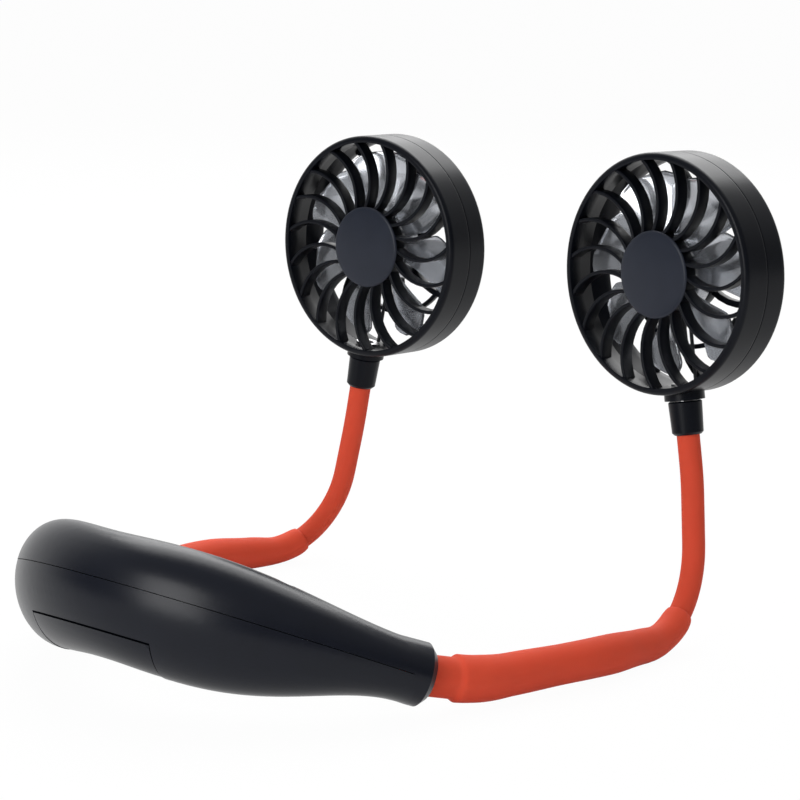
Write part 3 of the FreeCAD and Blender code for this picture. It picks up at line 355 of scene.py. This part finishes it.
def moulded(name, colour, low, high, index=1.30):
    """Black plastic from a fine-grained mould, with a faint mottle in its sheen."""
    make = Finish(name)
    mottle = make.noise(42.0, detail=3.0)
    fine = make.noise(2600.0, roughness=0.6)
    shade = make.mixed(make.noise(150.0), tinted(colour, 0.88), tinted(colour, 1.16))
    return make.done(make.node("ShaderNodeBsdfPrincipled", None, {
        "Base Color": shade,
        "Roughness": make.between(mottle, low, high),
        "IOR": index,
        "Normal": make.bump(fine, strength=0.10, distance=0.00012),
    }, "BSDF"))


def silicone(name, colour):
    """Soft matt rubber with a powdery bloom and slight unevenness from moulding."""
    make = Finish(name)
    bloom = make.noise(85.0, detail=4.0, roughness=0.6)
    fine = make.noise(1900.0, detail=3.0, roughness=0.65)
    lumps = make.noise(120.0, detail=1.0)
    shade = make.mixed(bloom, tinted(colour, 0.93), tinted(colour, 1.07))
    height = lumps * 0.75 + fine * 0.25
    return make.done(make.node("ShaderNodeBsdfPrincipled", None, {
        "Base Color": shade,
        "Roughness": make.between(bloom, 0.58, 0.70),
        "IOR": 1.16,
        "Subsurface Weight": 0.15,
        "Subsurface Scale": 0.002,
        "Normal": make.bump(height, strength=0.22, distance=0.0005),
    }, "BSDF"))


def clear_plastic(name, colour, silver=0.0):
    """Clear moulded plastic with faint flow marks, silvered or not."""
    make = Finish(name)
    flow = make.noise(70.0, detail=3.0, roughness=0.55)
    return make.done(make.node("ShaderNodeBsdfPrincipled", None, {
        "Base Color": make.mixed(flow, tinted(colour, 0.94), tinted(colour, 1.0)),
        "Roughness": make.between(flow, 0.10, 0.22),
        "IOR": 1.53,
        "Metallic": silver,
        "Transmission Weight": 0.75,
        "Normal": make.bump(flow, strength=0.05, distance=0.0004),
    }, "BSDF"))


def metal(name, colour, low, high):
    """Drawn metal with fine streaks."""
    make = Finish(name)
    streak = make.noise(900.0)
    return make.done(make.node("ShaderNodeBsdfPrincipled", None, {
        "Base Color": make.mixed(streak, tinted(colour, 0.85), tinted(colour, 1.1)),
        "Metallic": 1.0,
        "Roughness": make.between(streak, low, high),
    }, "BSDF"))


def coated(name, colour, low, high, scale):
    """A painted or wrapped skin with an uneven sheen."""
    make = Finish(name)
    mottle = make.noise(scale, detail=3.0)
    return make.done(make.node("ShaderNodeBsdfPrincipled", None, {
        "Base Color": make.mixed(mottle, tinted(colour, 0.8), tinted(colour, 1.25)),
        "Roughness": make.between(mottle, low, high),
        "Normal": make.bump(mottle, strength=0.1, distance=0.0002),
    }, "BSDF"))


def insulation(name):
    """Dull black skin of a lead."""
    return coated(name, settings().finish.skin, low=0.45, high=0.6, scale=300.0)


def paint(node, material):
    """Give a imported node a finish."""
    item = NODES[node]
    if not item.material_slots:
        raise RuntimeError("no material slot on " + node)
    for slot in item.material_slots:
        slot.material = material


def piece(name, shape, material, crease=35.0):
    """Turn a finished bmesh into an object at the origin, smooth but for creases past some degrees."""
    mesh = bpy.data.meshes.new(name)
    shape.to_mesh(mesh)
    shape.free()
    mesh.polygons.foreach_set("use_smooth", [True] * len(mesh.polygons))
    mesh.set_sharp_from_angle(angle=math.radians(crease))
    mesh.materials.append(material)
    item = bpy.data.objects.new(name, mesh)
    bpy.context.scene.collection.objects.link(item)
    return item


def sharp_edges(shape, degrees):
    """Edges between two faces that turn by more than some degrees."""
    limit = math.radians(degrees)
    inner = [edge for edge in shape.edges if len(edge.link_faces) == 2]
    return [edge for edge in inner if edge.calc_face_angle() > limit]


def soften(shape, offset, degrees=30.0, segments=2):
    """Round the sharp edges of a form, as a mould does."""
    bmesh.ops.remove_doubles(shape, verts=shape.verts, dist=WELD)
    bmesh.ops.recalc_face_normals(shape, faces=shape.faces)
    bmesh.ops.bevel(
        shape, geom=sharp_edges(shape, degrees), offset=offset, offset_type="OFFSET",
        segments=segments, profile=0.5, affect="EDGES", clamp_overlap=True, material=-1,
    )


def turned(profile, steps, closed=True):
    """A form turned about Z from (radius, height) corners."""
    shape = bmesh.new()
    verts = [shape.verts.new((radius, 0, height)) for radius, height in profile]
    pairs = list(zip(verts, verts[1:]))
    if closed:
        pairs.append((verts[-1], verts[0]))
    edges = [shape.edges.new(pair) for pair in pairs]
    bmesh.ops.spin(
        shape, geom=verts + edges, cent=(0, 0, 0), axis=(0, 0, 1), dvec=(0, 0, 0),
        angle=2 * math.pi, steps=steps, use_merge=True,
    )
    bmesh.ops.remove_doubles(shape, verts=shape.verts, dist=WELD)
    bmesh.ops.recalc_face_normals(shape, faces=shape.faces)
    return shape


def merged(*shapes):
    """Several forms as one."""
    whole = bmesh.new()
    for shape in shapes:
        mesh = bpy.data.meshes.new("part")
        shape.to_mesh(mesh)
        shape.free()
        whole.from_mesh(mesh)
        bpy.data.meshes.remove(mesh)
    return whole


def ringed(shape, count):
    """Copies of a form round Z."""
    geom = list(shape.verts) + list(shape.edges) + list(shape.faces)
    bmesh.ops.spin(
        shape, geom=geom, cent=(0, 0, 0), axis=(0, 0, 1), dvec=(0, 0, 0),
        angle=2 * math.pi * (count - 1) / count, steps=count - 1, use_duplicate=True,
    )
    bmesh.ops.recalc_face_normals(shape, faces=shape.faces)
    return shape


def arc_through(first, second, third):
    """Centre and radius of the circle through three points of a plane."""
    a, b = second - first, third - first
    cross = 2 * (a.x * b.y - a.y * b.x)
    x = (b.y * a.length_squared - a.y * b.length_squared) / cross
    y = (a.x * b.length_squared - b.x * a.length_squared) / cross
    offset = Vector((x, y))
    return first + offset, offset.length


def bar(width, low, high, frames):
    """A flat bar carried along a row of frames: X is its width, Y its way, Z its depth."""
    shape = bmesh.new()
    made = bmesh.ops.create_circle(shape, cap_ends=True, segments=4, radius=math.sqrt(0.5))
    square = made["verts"]
    for angle, axis in ((math.pi / 4, "Z"), (math.pi / 2, "X")):
        bmesh.ops.rotate(shape, verts=square, cent=(0, 0, 0), matrix=Matrix.Rotation(angle, 3, axis))
    bmesh.ops.scale(shape, verts=square, vec=(width, 1, high - low))
    bmesh.ops.translate(shape, verts=square, vec=(0, 0, 0.5 * (low + high)))
    bmesh.ops.transform(shape, matrix=frames[0], verts=square)
    face = shape.faces[:][0]
    for before, after in zip(frames, frames[1:]):
        made = bmesh.ops.extrude_discrete_faces(shape, faces=[face])
        face = made["faces"][0]
        bmesh.ops.transform(shape, matrix=after @ before.inverted(), verts=face.verts)
    return shape


def strip(inside, outside, turns, width, low, high, steps=10):
    """A bar that runs outwards on one arc, bowed back half-way and swept forward at its end."""
    start, bow, sweep = turns
    middle = 0.5 * (inside + outside)
    points = []
    for radius, angle in ((inside, start), (middle, start - bow), (outside, start + sweep)):
        points.append(Vector((radius * math.cos(angle), radius * math.sin(angle))))
    centre, radius = arc_through(*points)
    first = math.atan2(points[0].y - centre.y, points[0].x - centre.x)
    last = math.atan2(points[2].y - centre.y, points[2].x - centre.x)
    turn = (last - first + math.pi) % (2 * math.pi) - math.pi
    frames = []
    for step in range(steps + 1):
        angle = first + turn * step / steps
        spot = Vector((centre.x + radius * math.cos(angle), centre.y + radius * math.sin(angle), 0))
        frames.append(Matrix.Translation(spot) @ Matrix.Rotation(angle, 4, "Z"))
    return bar(width, low, high, frames)


def head_frame(side):
    """Where a head sits: Z out of its front, Y up its stem."""
    spin = JOINTS[side + "_impeller_spin"]
    front = Vector(spin["axis"]).normalized()
    up = Vector(JOINTS[side + "_head_swivel"]["axis"]).normalized()
    across = up.cross(front).normalized()
    turn = Matrix((across, front.cross(across), front)).transposed().to_4x4()
    return Matrix.Translation(Vector(spin["pos_m"])) @ turn


def set_in(shape, side):
    """Move a form from a head's own frame to its place on one side."""
    bmesh.ops.transform(shape, matrix=head_frame(side), verts=shape.verts)
    return shape


def rounded_lip(head, edge, sign):
    """Quarter round from a head's outside to its front or back face."""
    steps = 5
    angles = [math.pi / 2 * step / steps for step in range(steps + 1)]
    across, along = head.radius - head.lip_round, edge - sign * head.lip_round
    return [(head.radius, along - sign * SUPPORT)] + [
        (across + head.lip_round * math.cos(angle), along + sign * head.lip_round * math.sin(angle))
        for angle in angles
    ]


def front_grille(head):
    """Outer ring, hub ring and the swirl of vanes between them."""
    front = head.depth / 2
    back = front - head.setback - head.vane_depth
    seam = -head.seam + head.seam_gap / 2
    groove = head.radius - head.seam_depth
    inner = head.radius - head.wall
    lip = head.radius - head.rim_width
    ring = turned([
        (head.radius, seam), (head.radius, seam + SUPPORT), *rounded_lip(head, front, 1),
        (lip, front), (lip, back), (inner, back - LIP_SLOPE), (inner, -head.seam),
        (groove, -head.seam), (groove, seam),
    ], LARGE_ROUND)
    soften(ring, FINE_EDGE)
    hub = turned([
        (head.hub_bore, back), (head.hub_radius, back),
        (head.hub_radius, front - head.setback), (head.hub_bore, front - head.setback),
    ], SMALL_ROUND)
    soften(hub, SOFT_EDGE)
    vane = strip(
        head.hub_radius - ROOTED, lip + TUCKED, (head.vane_start, head.vane_bow, head.vane_sweep),
        head.vane_width, back, front - head.setback,
    )
    soften(vane, head.vane_round, degrees=40.0, segments=3)
    return merged(ring, hub, ringed(vane, head.vane_count))


def hub_cap(head):
    """Low domed disc over the hub, with a plug behind it."""
    seat = head.depth / 2 - head.setback
    top = head.depth / 2 + head.cap_rise
    edge = top - head.cap_dome
    plug = head.hub_bore - head.plug_fit
    shares = [0.9 - 0.1 * step for step in range(9)]
    dome = [(head.cap_radius * share, top - head.cap_dome * share * share) for share in shares]
    cap = turned([
        (0, seat - head.plug_depth), (plug, seat - head.plug_depth), (plug, seat),
        (head.cap_radius, seat), (head.cap_radius, edge - head.cap_slope),
        (head.cap_radius - head.cap_slope, edge), *dome, (0, top),
    ], MIDDLE_ROUND, closed=False)
    soften(cap, CAP_EDGE, degrees=25.0)
    return cap


def rear_shell(head):
    """Rear ring, spokes, guard ring and the motor's seat."""
    back = -head.depth / 2
    seat = back + head.setback
    seam = -head.seam - head.seam_gap / 2
    groove = head.radius - head.seam_depth
    inner = head.radius - head.wall
    lip = head.radius - head.rim_width
    spoke_front = seat + head.spoke_depth
    ring = turned([
        (head.radius, seam), (head.radius, seam - SUPPORT), *rounded_lip(head, back, -1),
        (lip, back), (lip, spoke_front), (inner, spoke_front + LIP_SLOPE), (inner, -head.seam),
        (groove, -head.seam), (groove, seam),
    ], LARGE_ROUND)
    soften(ring, FINE_EDGE)
    plate = turned([
        (0, seat), (head.seat_radius, seat), (head.seat_radius, seat + head.seat_depth),
        (head.seat_bore, seat + head.seat_depth), (head.seat_bore, seat + head.seat_floor),
        (0, seat + head.seat_floor),
    ], SMALL_ROUND, closed=False)
    soften(plate, SOFT_EDGE)
    inside, outside = head.guard_radius - head.guard_half, head.guard_radius + head.guard_half
    guard = turned([
        (inside, seat), (outside, seat),
        (outside, seat + head.guard_depth), (inside, seat + head.guard_depth),
    ], MIDDLE_ROUND)
    soften(guard, SOFT_EDGE)
    spoke = strip(
        head.seat_radius - ROOTED, lip + TUCKED, (0.0, -head.spoke_sweep / 4, head.spoke_sweep),
        head.spoke_width, seat, spoke_front, steps=8,
    )
    soften(spoke, SOFT_EDGE, degrees=40.0)
    return merged(ring, plate, guard, ringed(spoke, head.spoke_count))


def blade(head):
    """One wide blade with a rounded tip, wrapped round the axis, pitched and hollowed."""
    widening = 1.25  # the blade is widest before it reaches its tip
    rounding = 0.75  # share of the reach where the tip begins to round off
    narrowing, fullness = 0.72, 2.4  # how much of the chord the tip loses, and how late
    settling = 0.6  # share of the camber by which the whole blade comes forward again
    edging = 0.3  # share of the wall that is rounded off
    shape = bmesh.new()
    bmesh.ops.create_grid(shape, x_segments=16, y_segments=14, size=0.5)
    root = head.cup_radius - ROOTED
    for vertex in shape.verts:
        out, across = vertex.co.x + 0.5, vertex.co.y
        radius = root + (head.blade_reach - root) * out
        spread = min(1.0, out * widening)
        chord = head.blade_root_chord + (head.blade_tip_chord - head.blade_root_chord) * spread
        pitch = head.blade_root_pitch + (head.blade_tip_pitch - head.blade_root_pitch) * out
        tip = max(0.0, (out - rounding) / (1.0 - rounding))
        chord *= math.sqrt(1.0 - narrowing * tip ** fullness)
        turn = across * chord * math.cos(pitch) / radius
        rise = across * chord * math.sin(pitch) - head.blade_camber * (1.0 - 4.0 * across * across)
        vertex.co = (radius * math.cos(turn), radius * math.sin(turn), rise - head.blade_setback)
    bmesh.ops.translate(shape, verts=shape.verts, vec=(0, 0, head.blade_camber * settling))
    bmesh.ops.recalc_face_normals(shape, faces=shape.faces)
    bmesh.ops.solidify(shape, geom=shape.faces[:], thickness=head.blade_wall)
    soften(shape, head.blade_wall * edging, degrees=50.0)
    return shape


def impeller(head):
    """Cup over the motor and the blades round it."""
    shoulder = head.cup_front - head.cup_floor
    inside = head.cup_radius - head.cup_wall
    cup = turned([
        (head.shaft_radius, shoulder), (head.boss_radius, shoulder),
        (inside, shoulder - head.cup_draft), (inside, -head.cup_back),
        (head.cup_radius, -head.cup_back), (head.cup_radius, shoulder),
        (head.cup_radius - head.cup_slope, head.cup_front), (head.shaft_radius, head.cup_front),
    ], MIDDLE_ROUND)
    soften(cup, CUP_EDGE, degrees=25.0)
    return merged(cup, ringed(blade(head), head.blade_count))


class NECKFAN_OT_heads(bpy.types.Operator):
    """Swirl grilles, hub caps and rear shells of both heads"""

    bl_idname = "neckfan.heads"
    bl_label = "Fan heads"

    def execute(self, context):
        fan = settings()
        black = moulded("head_black", fan.finish.grille, low=0.27, high=0.37, index=1.22)
        cap_black = moulded("cap_black", fan.finish.cap, low=0.28, high=0.36)
        for side in SIDES:
            made = (
                ("front_grille", front_grille, black),
                ("hub_cap", hub_cap, cap_black),
                ("rear_shell", rear_shell, black),
            )
            for name, build, finish in made:
                node = side + "_" + name
                shape = set_in(build(fan.head), side)
                item = piece(node + "_moulding", shape, finish)
                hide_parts(node)
                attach(item, side + "_head")
            for name in ("swivel_collar", "ferrule"):
                paint(side + "_" + name, black)
        return {"FINISHED"}


class NECKFAN_OT_drive(bpy.types.Operator):
    """Motors, shafts, leads and clear impellers"""

    bl_idname = "neckfan.drive"
    bl_label = "Motors and impellers"

    def execute(self, context):
        fan = settings()
        clear = clear_plastic("clear_impeller", fan.finish.clear, silver=0.4)
        steel = metal("drawn_steel", fan.finish.steel, low=0.22, high=0.38)
        skin = insulation("lead_skin")
        for side in SIDES:
            shape = set_in(impeller(fan.head), side)
            item = piece(side + "_impeller_moulding", shape, clear)
            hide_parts(side + "_impeller")
            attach(item, side + "_impeller")
            paint(side + "_motor", steel)
            paint(side + "_motor_shaft", steel)
            paint(side + "_swivel_pivot", steel)
            paint(side + "_motor_lead", skin)
        return {"FINISHED"}


def arm_points(side):
    """Corners of an arm's middle line, from inside the ferrule down to inside the housing."""
    arm = settings().arm
    sign = 1 if side == "right" else -1
    swivel = JOINTS[side + "_head_swivel"]
    centre, up = Vector(swivel["pos_m"]), Vector(swivel["axis"]).normalized()
    end = Vector(JOINTS[side + "_arm_spread"]["pos_m"])
    flip = Vector((sign, 1, 1))
    way = Vector(arm.leg_way) * flip
    corners = [Vector(corner) * flip for corner in (arm.elbow, arm.flank_bow, arm.root_bow)]
    points = [centre - up * arm.top_drop, centre - up * arm.stem_drop] + corners
    return points + [end + way * arm.leg_start, end + way * arm.leg_end]


def arm_line(side):
    """The arm's middle line as a smooth Bezier curve, read back as close points."""
    points = arm_points(side)
    knots = [(points[0], None, None)]
    for index, radius in enumerate(settings().arm.bends, 1):
        corner = points[index]
        back = (points[index - 1] - corner).normalized()
        ahead = (points[index + 1] - corner).normalized()
        half = 0.5 * back.angle(ahead)
        reach = radius / math.tan(half)
        pull = 4 / 3 * math.tan((math.pi - 2 * half) / 4) * radius
        knots.append((corner + back * reach, None, -back * pull))
        knots.append((corner + ahead * reach, -ahead * pull, None))
    knots.append((points[-1], None, None))
    curve = bpy.data.curves.new(side + "_arm_line", "CURVE")
    curve.dimensions = "3D"
    curve.resolution_u = 24
    spline = curve.splines.new("BEZIER")
    spline.bezier_points.add(len(knots) - 1)
    for index, (spot, before, after) in enumerate(knots):
        last = knots[max(index - 1, 0)][0]
        following = knots[min(index + 1, len(knots) - 1)][0]
        knot = spline.bezier_points[index]
        knot.co = spot
        knot.handle_left = spot + (before or (last - spot) / 3)
        knot.handle_right = spot + (after or (following - spot) / 3)
    item = bpy.data.objects.new(curve.name, curve)
    bpy.context.scene.collection.objects.link(item)
    bpy.context.view_layer.update()
    mesh = bpy.data.meshes.new_from_object(item.evaluated_get(bpy.context.evaluated_depsgraph_get()))
    line = [vertex.co.copy() for vertex in mesh.vertices]
    bpy.data.objects.remove(item)
    bpy.data.meshes.remove(mesh)
    bpy.data.curves.remove(curve)
    return line


class Run:
    """A line that can be read by distance."""

    LOOK = 0.0006  # how far before and after a point its direction is taken from
    TINY = 1e-9  # a stretch shorter than this is passed over

    def __init__(self, line):
        self.line = line
        self.marks = [0.0]
        for first, second in zip(line, line[1:]):
            self.marks.append(self.marks[-1] + (second - first).length)
        self.total = self.marks[-1]

    def at(self, distance):
        distance = min(max(distance, 0.0), self.total)
        for index in range(len(self.marks) - 1):
            span = self.marks[index + 1] - self.marks[index]
            if distance <= self.marks[index + 1] and span > self.TINY:
                share = (distance - self.marks[index]) / span
                return self.line[index].lerp(self.line[index + 1], share)
        return self.line[-1]

    def way(self, distance):
        return (self.at(distance + self.LOOK) - self.at(distance - self.LOOK)).normalized()


def hose(run, rings, shift, segments):
    """A round form along a run. Each ring is (distance, radius)."""
    shape = bmesh.new()
    frames = []
    way = run.way(rings[0][0])
    turn = Z_AXIS.rotation_difference(way).to_matrix()
    for distance, radius in rings:
        ahead = run.way(distance)
        turn = way.rotation_difference(ahead).to_matrix() @ turn
        way = ahead
        grow = Matrix.Diagonal((radius, radius, 1.0, 1.0))
        frames.append(Matrix.Translation(run.at(distance) + shift) @ turn.to_4x4() @ grow)
    bmesh.ops.create_circle(shape, cap_ends=False, segments=segments, radius=1.0, matrix=frames[0])
    edges = shape.edges[:]
    bmesh.ops.contextual_create(shape, geom=edges)
    for before, after in zip(frames, frames[1:]):
        made = bmesh.ops.extrude_edge_only(shape, edges=edges)["geom"]
        edges = [part for part in made if isinstance(part, bmesh.types.BMEdge)]
        corners = [part for part in made if isinstance(part, bmesh.types.BMVert)]
        bmesh.ops.transform(shape, matrix=after @ before.inverted(), verts=corners)
    bmesh.ops.contextual_create(shape, geom=edges)
    bmesh.ops.recalc_face_normals(shape, faces=shape.faces)
    return shape


def even_rings(start, stop, radius):
    """Rings of one radius, about a step apart."""
    count = max(2, round((stop - start) / RING_STEP))
    return [(start + (stop - start) * index / count, radius) for index in range(count + 1)]


def sleeve_rings(arm, mouth, neck, end):
    """The sleeve's swelling form: lip, slack elbow, thick root, step and neck."""
    length = neck - mouth
    # share of the length, and the radius there
    marks = (
        (0.0, arm.mouth_radius), (0.035, arm.mouth_radius * 1.06), (0.10, arm.mouth_radius * 1.06),
        (0.24, arm.middle_radius * 0.905), (0.42, arm.middle_radius * 1.01),
        (0.60, arm.middle_radius * 1.0), (0.80, arm.middle_radius * 1.06),
        (0.93, arm.root_radius * 0.985), (1.0, arm.root_radius),
    )
    gap, lip, bevel = 0.00005, 0.00045, 0.00014
    rings = [(mouth, arm.tube_radius + gap), (mouth, arm.mouth_radius - lip)]
    rings.append((mouth + bevel, arm.mouth_radius - bevel))
    count = 86
    for step in range(1, count):
        share = step / count
        for (low, first), (high, second) in zip(marks, marks[1:]):
            if low <= share <= high:
                part = (share - low) / (high - low)
                part = part * part * (3 - 2 * part)
                rings.append((mouth + length * share, first + (second - first) * part))
                break
    # the rounded step down to the neck
    above, below, corner, fillet = 0.0004, 0.0007, 0.00025, 0.00012
    rings += [
        (neck - above, arm.root_radius), (neck, arm.root_radius - corner),
        (neck + below, arm.neck_radius + fillet),
    ]
    return rings + even_rings(neck + RING_STEP, end, arm.neck_radius)


class NECKFAN_OT_arms(bpy.types.Operator):
    """Bendable arms: silicone sleeve and tube, core wire and motor lead"""

    bl_idname = "neckfan.arms"
    bl_label = "Bendable arms"

    def execute(self, context):
        fan = settings()
        arm = fan.arm
        red = silicone("tube_silicone", fan.finish.silicone)
        # Painted light: the sleeves get a copy of the tubes' silicone made 12 % lighter. It stands in for the
        # extra light from below that falls on the lower sleeves.
        painted_light_colour = tinted(fan.finish.silicone, 1.12)[:3]
        sleeve_painted_light = silicone("sleeve_silicone_painted_light", painted_light_colour)
        wire = metal("soft_wire", fan.finish.steel, low=0.3, high=0.45)
        skin = insulation("arm_lead_skin")
        slots = {"core_wire": "soft_metal", "arm_lead": "lead_insulation"}
        for side in SIDES:
            run = Run(arm_line(side))
            total, split = run.total, arm.split
            end = total - arm.tail
            neck = end - arm.neck_length
            mouth = arm.right_mouth if side == "right" else arm.left_mouth
            root = run.at(end - arm.spread_back)
            way = run.way(end)
            bend = (run.at(mouth), run.at(arm.covered))
            spread = (root + way * arm.spread_in, root - way * arm.spread_out)
            beside = Vector((arm.lead_aside if side == "right" else -arm.lead_aside, 0, 0))
            sleeve = sleeve_rings(arm, mouth, neck, end)
            tube = even_rings(0, mouth + arm.lap, arm.tube_radius)
            core_top, core_foot, lead_top, lead_foot = (
                even_rings(start, stop, radius)
                for radius in (arm.core_radius, arm.lead_radius)
                for start, stop in ((0, split), (split, total))
            )
            parts = (
                ("arm_sleeve", "sleeve_skin", sleeve, NO_SHIFT, sleeve_painted_light, spread),
                ("stem_tube", "tube_skin", tube, NO_SHIFT, red, bend),
                ("core_wire", "core_top", core_top, NO_SHIFT, wire, bend),
                ("core_wire", "core_foot", core_foot, NO_SHIFT, wire, spread),
                ("arm_lead", "lead_top", lead_top, beside, skin, bend),
                ("arm_lead", "lead_foot", lead_foot, beside, skin, spread),
            )
            for node, name, rings, shift, finish, zone in parts:
                shape = hose(run, rings, shift, THIN_SIDES if node in slots else THICK_SIDES)
                item = piece(side + "_" + name, shape, finish, crease=60.0)
                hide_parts(side + "_" + node)
                if zone is bend:
                    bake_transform(item)
                else:
                    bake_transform(item)
        return {"FINISHED"}


def flush_door(housing):
    """The battery door, its outside raised level with the housing round it."""
    shape = bmesh.new()
    shape.from_mesh(NODES["battery_door"].data)
    bmesh.ops.remove_doubles(shape, verts=shape.verts, dist=JOIN)
    away = Vector(JOINTS["battery_door_slide"]["axis"])
    outside = {face for face in shape.faces if face.normal.dot(away) > housing.door_facing}
    moves = []
    for vertex in shape.verts:
        normals = [face.normal * face.calc_area() for face in vertex.link_faces if face in outside]
        if normals:
            moves.append((vertex, sum(normals, Vector()).normalized() * housing.door_sink))
    for vertex, move in moves:
        vertex.co += move
    return shape


def socket_can(housing):
    """The charging socket's can, its rim drawn back inside the belly."""
    shape = bmesh.new()
    shape.from_mesh(NODES["charge_socket"].data)
    bmesh.ops.remove_doubles(shape, verts=shape.verts, dist=JOIN)
    port = next(mount for mount in frame["record"]["mounts"] if mount["name"] == "charge_port")
    out = Vector(port["axis"]).normalized()
    mouth = max(vertex.co.dot(out) for vertex in shape.verts)
    rim = [vertex for vertex in shape.verts if vertex.co.dot(out) > mouth - housing.rim_depth]
    bmesh.ops.translate(shape, verts=rim, vec=out * -housing.rim_draw)
    return shape


class NECKFAN_OT_housing(bpy.types.Operator):
    """Crescent housing with its door, button, light and what is inside"""

    bl_idname = "neckfan.housing"
    bl_label = "Housing"

    def execute(self, context):
        fan = settings()
        black = moulded("housing_black", fan.finish.shell, low=0.25, high=0.33)
        glossy = moulded("button_black", fan.finish.grille, low=0.24, high=0.32)
        nickel = tinted(fan.finish.steel, 0.3)[:3]
        dark = metal("socket_nickel", nickel, low=0.25, high=0.38)
        board = coated("board_green", fan.finish.board, low=0.3, high=0.45, scale=260.0)
        wrap = coated("cell_wrap", fan.finish.wrap, low=0.25, high=0.4, scale=120.0)
        skin = insulation("board_lead_skin")
        pipe = clear_plastic("light_pipe", fan.finish.clear)
        for node in ("upper_shell", "lower_shell"):
            paint(node, black)
        door = piece("battery_door_moulding", flush_door(fan.housing), black)
        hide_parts("battery_door")
        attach(door, "battery_door")
        for side in SIDES:
            paint(side + "_leg_collar", black)
            paint(side + "_arm_anchor", black)
            paint(side + "_board_lead", skin)
        paint("battery_lead", skin)
        paint("power_button", glossy)
        paint("button_switch", glossy)
        can = piece("charge_socket_can", socket_can(fan.housing), dark)
        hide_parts("charge_socket")
        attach(can, "housing")
        paint("control_board", board)
        paint("battery_pack", wrap)
        paint("indicator_lens", pipe)
        return {"FINISHED"}


def lamp(name, place, target, size, power):
    """A rectangular lamp that points at a target."""
    data = bpy.data.lights.new(name, "AREA")
    data.shape = "RECTANGLE"
    data.size, data.size_y = size
    data.energy = power
    item = bpy.data.objects.new(name, data)
    bpy.context.scene.collection.objects.link(item)
    item.location = place
    item.rotation_euler = (Vector(target) - Vector(place)).to_track_quat("-Z", "Y").to_euler()


def paper_floor(stage, colour):
    """A pale floor that is plain white to the camera and still takes the shadow."""
    make = Finish("paper_floor")
    lit = make.node("ShaderNodeEmission", None, {"Color": (1, 1, 1, 1), "Strength": 1.0})
    dull = make.node("ShaderNodeBsdfDiffuse", None, {"Color": list(colour) + [1.0]})
    share = make.seen(1.0) * stage.white
    return make.done(make.node("ShaderNodeMixShader", None, {0: share, 1: dull, 2: lit}))


def studio(stage):
    """A soft sky over a dim wall. Seen straight, or mirrored from behind the fan, it is plain white."""
    horizon, overhead = 0.05, 0.75  # heights between which the wall turns into the sky
    edge_on, full_on = 0.0, 0.6  # how squarely a mirrored ray meets the backdrop
    make = Finish("studio", True)
    height = make.node("ShaderNodeSeparateXYZ", None, {0: make.place}, "Z")
    level = make.spread(height, horizon, overhead, stage.wall, stage.sky)
    behind = Vector((-math.sin(stage.azimuth), math.cos(stage.azimuth), 0))
    values = {0: make.place, 1: behind}
    facing = make.node("ShaderNodeVectorMath", {"operation": "DOT_PRODUCT"}, values, 1)
    shown = make.seen(make.spread(facing, edge_on, full_on))
    strength = level * (1 - shown) + shown
    return make.done(
        make.node("ShaderNodeBackground", None, {"Color": (1, 1, 1, 1), "Strength": strength})
    )


class NECKFAN_OT_stage(bpy.types.Operator):
    """Floor, backdrop, light and camera"""

    bl_idname = "neckfan.stage"
    bl_label = "Stage"

    def execute(self, context):
        fan = settings()
        stage = fan.stage
        scene = context.scene
        scene.view_settings.view_transform = "Standard"
        shape = bmesh.new()
        bmesh.ops.create_grid(shape, x_segments=1, y_segments=1, size=stage.floor_half)
        floor = piece("floor", shape, paper_floor(stage, fan.finish.floor))
        scene.world = studio(stage)
        for name, (place, target, size, share) in LAMPS.items():
            lamp(name, place, target, size, stage.power * share)
        camera = bpy.data.cameras.new("camera")
        camera.lens = stage.lens
        camera.sensor_width = 36.0
        camera.clip_start = 0.01
        eye = bpy.data.objects.new("camera", camera)
        scene.collection.objects.link(eye)
        turn = Matrix.Rotation(stage.azimuth, 4, "Z")
        tilt = Matrix.Rotation(math.pi / 2 - stage.elevation, 4, "X")
        roll = Matrix.Rotation(stage.roll, 4, "Z")
        eye.matrix_world = Matrix.Translation(Vector(stage.camera)) @ turn @ tilt @ roll
        scene.camera = eye
        return {"FINISHED"}


class NECKFAN_PT_panel(bpy.types.Panel):
    """The steps that make the fan, in order"""

    bl_idname = "NECKFAN_PT_panel"
    bl_label = "Neck fan"
    bl_space_type = "VIEW_3D"
    bl_region_type = "UI"
    bl_category = "Neck fan"

    def draw(self, context):
        for step in STEPS:
            self.layout.operator(step.bl_idname)


STEPS = (NECKFAN_OT_stage, NECKFAN_OT_housing, NECKFAN_OT_heads, NECKFAN_OT_drive, NECKFAN_OT_arms)
GROUPS = (HeadSizes, ArmSizes, HousingSizes, Finishes, StageSettings, NeckFan)
CLASSES = GROUPS + STEPS + (NECKFAN_PT_panel,)


def register():
    for item in CLASSES:
        bpy.utils.register_class(item)
    bpy.types.Scene.neck_fan = PointerProperty(type=NeckFan)


def unregister():
    del bpy.types.Scene.neck_fan
    for item in reversed(CLASSES):
        bpy.utils.unregister_class(item)


def main():
    """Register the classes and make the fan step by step."""
    register()
    bpy.ops.neckfan.stage()
    bpy.ops.neckfan.housing()
    bpy.ops.neckfan.heads()
    bpy.ops.neckfan.drive()
    bpy.ops.neckfan.arms()


if __name__ == "__main__":
    main()
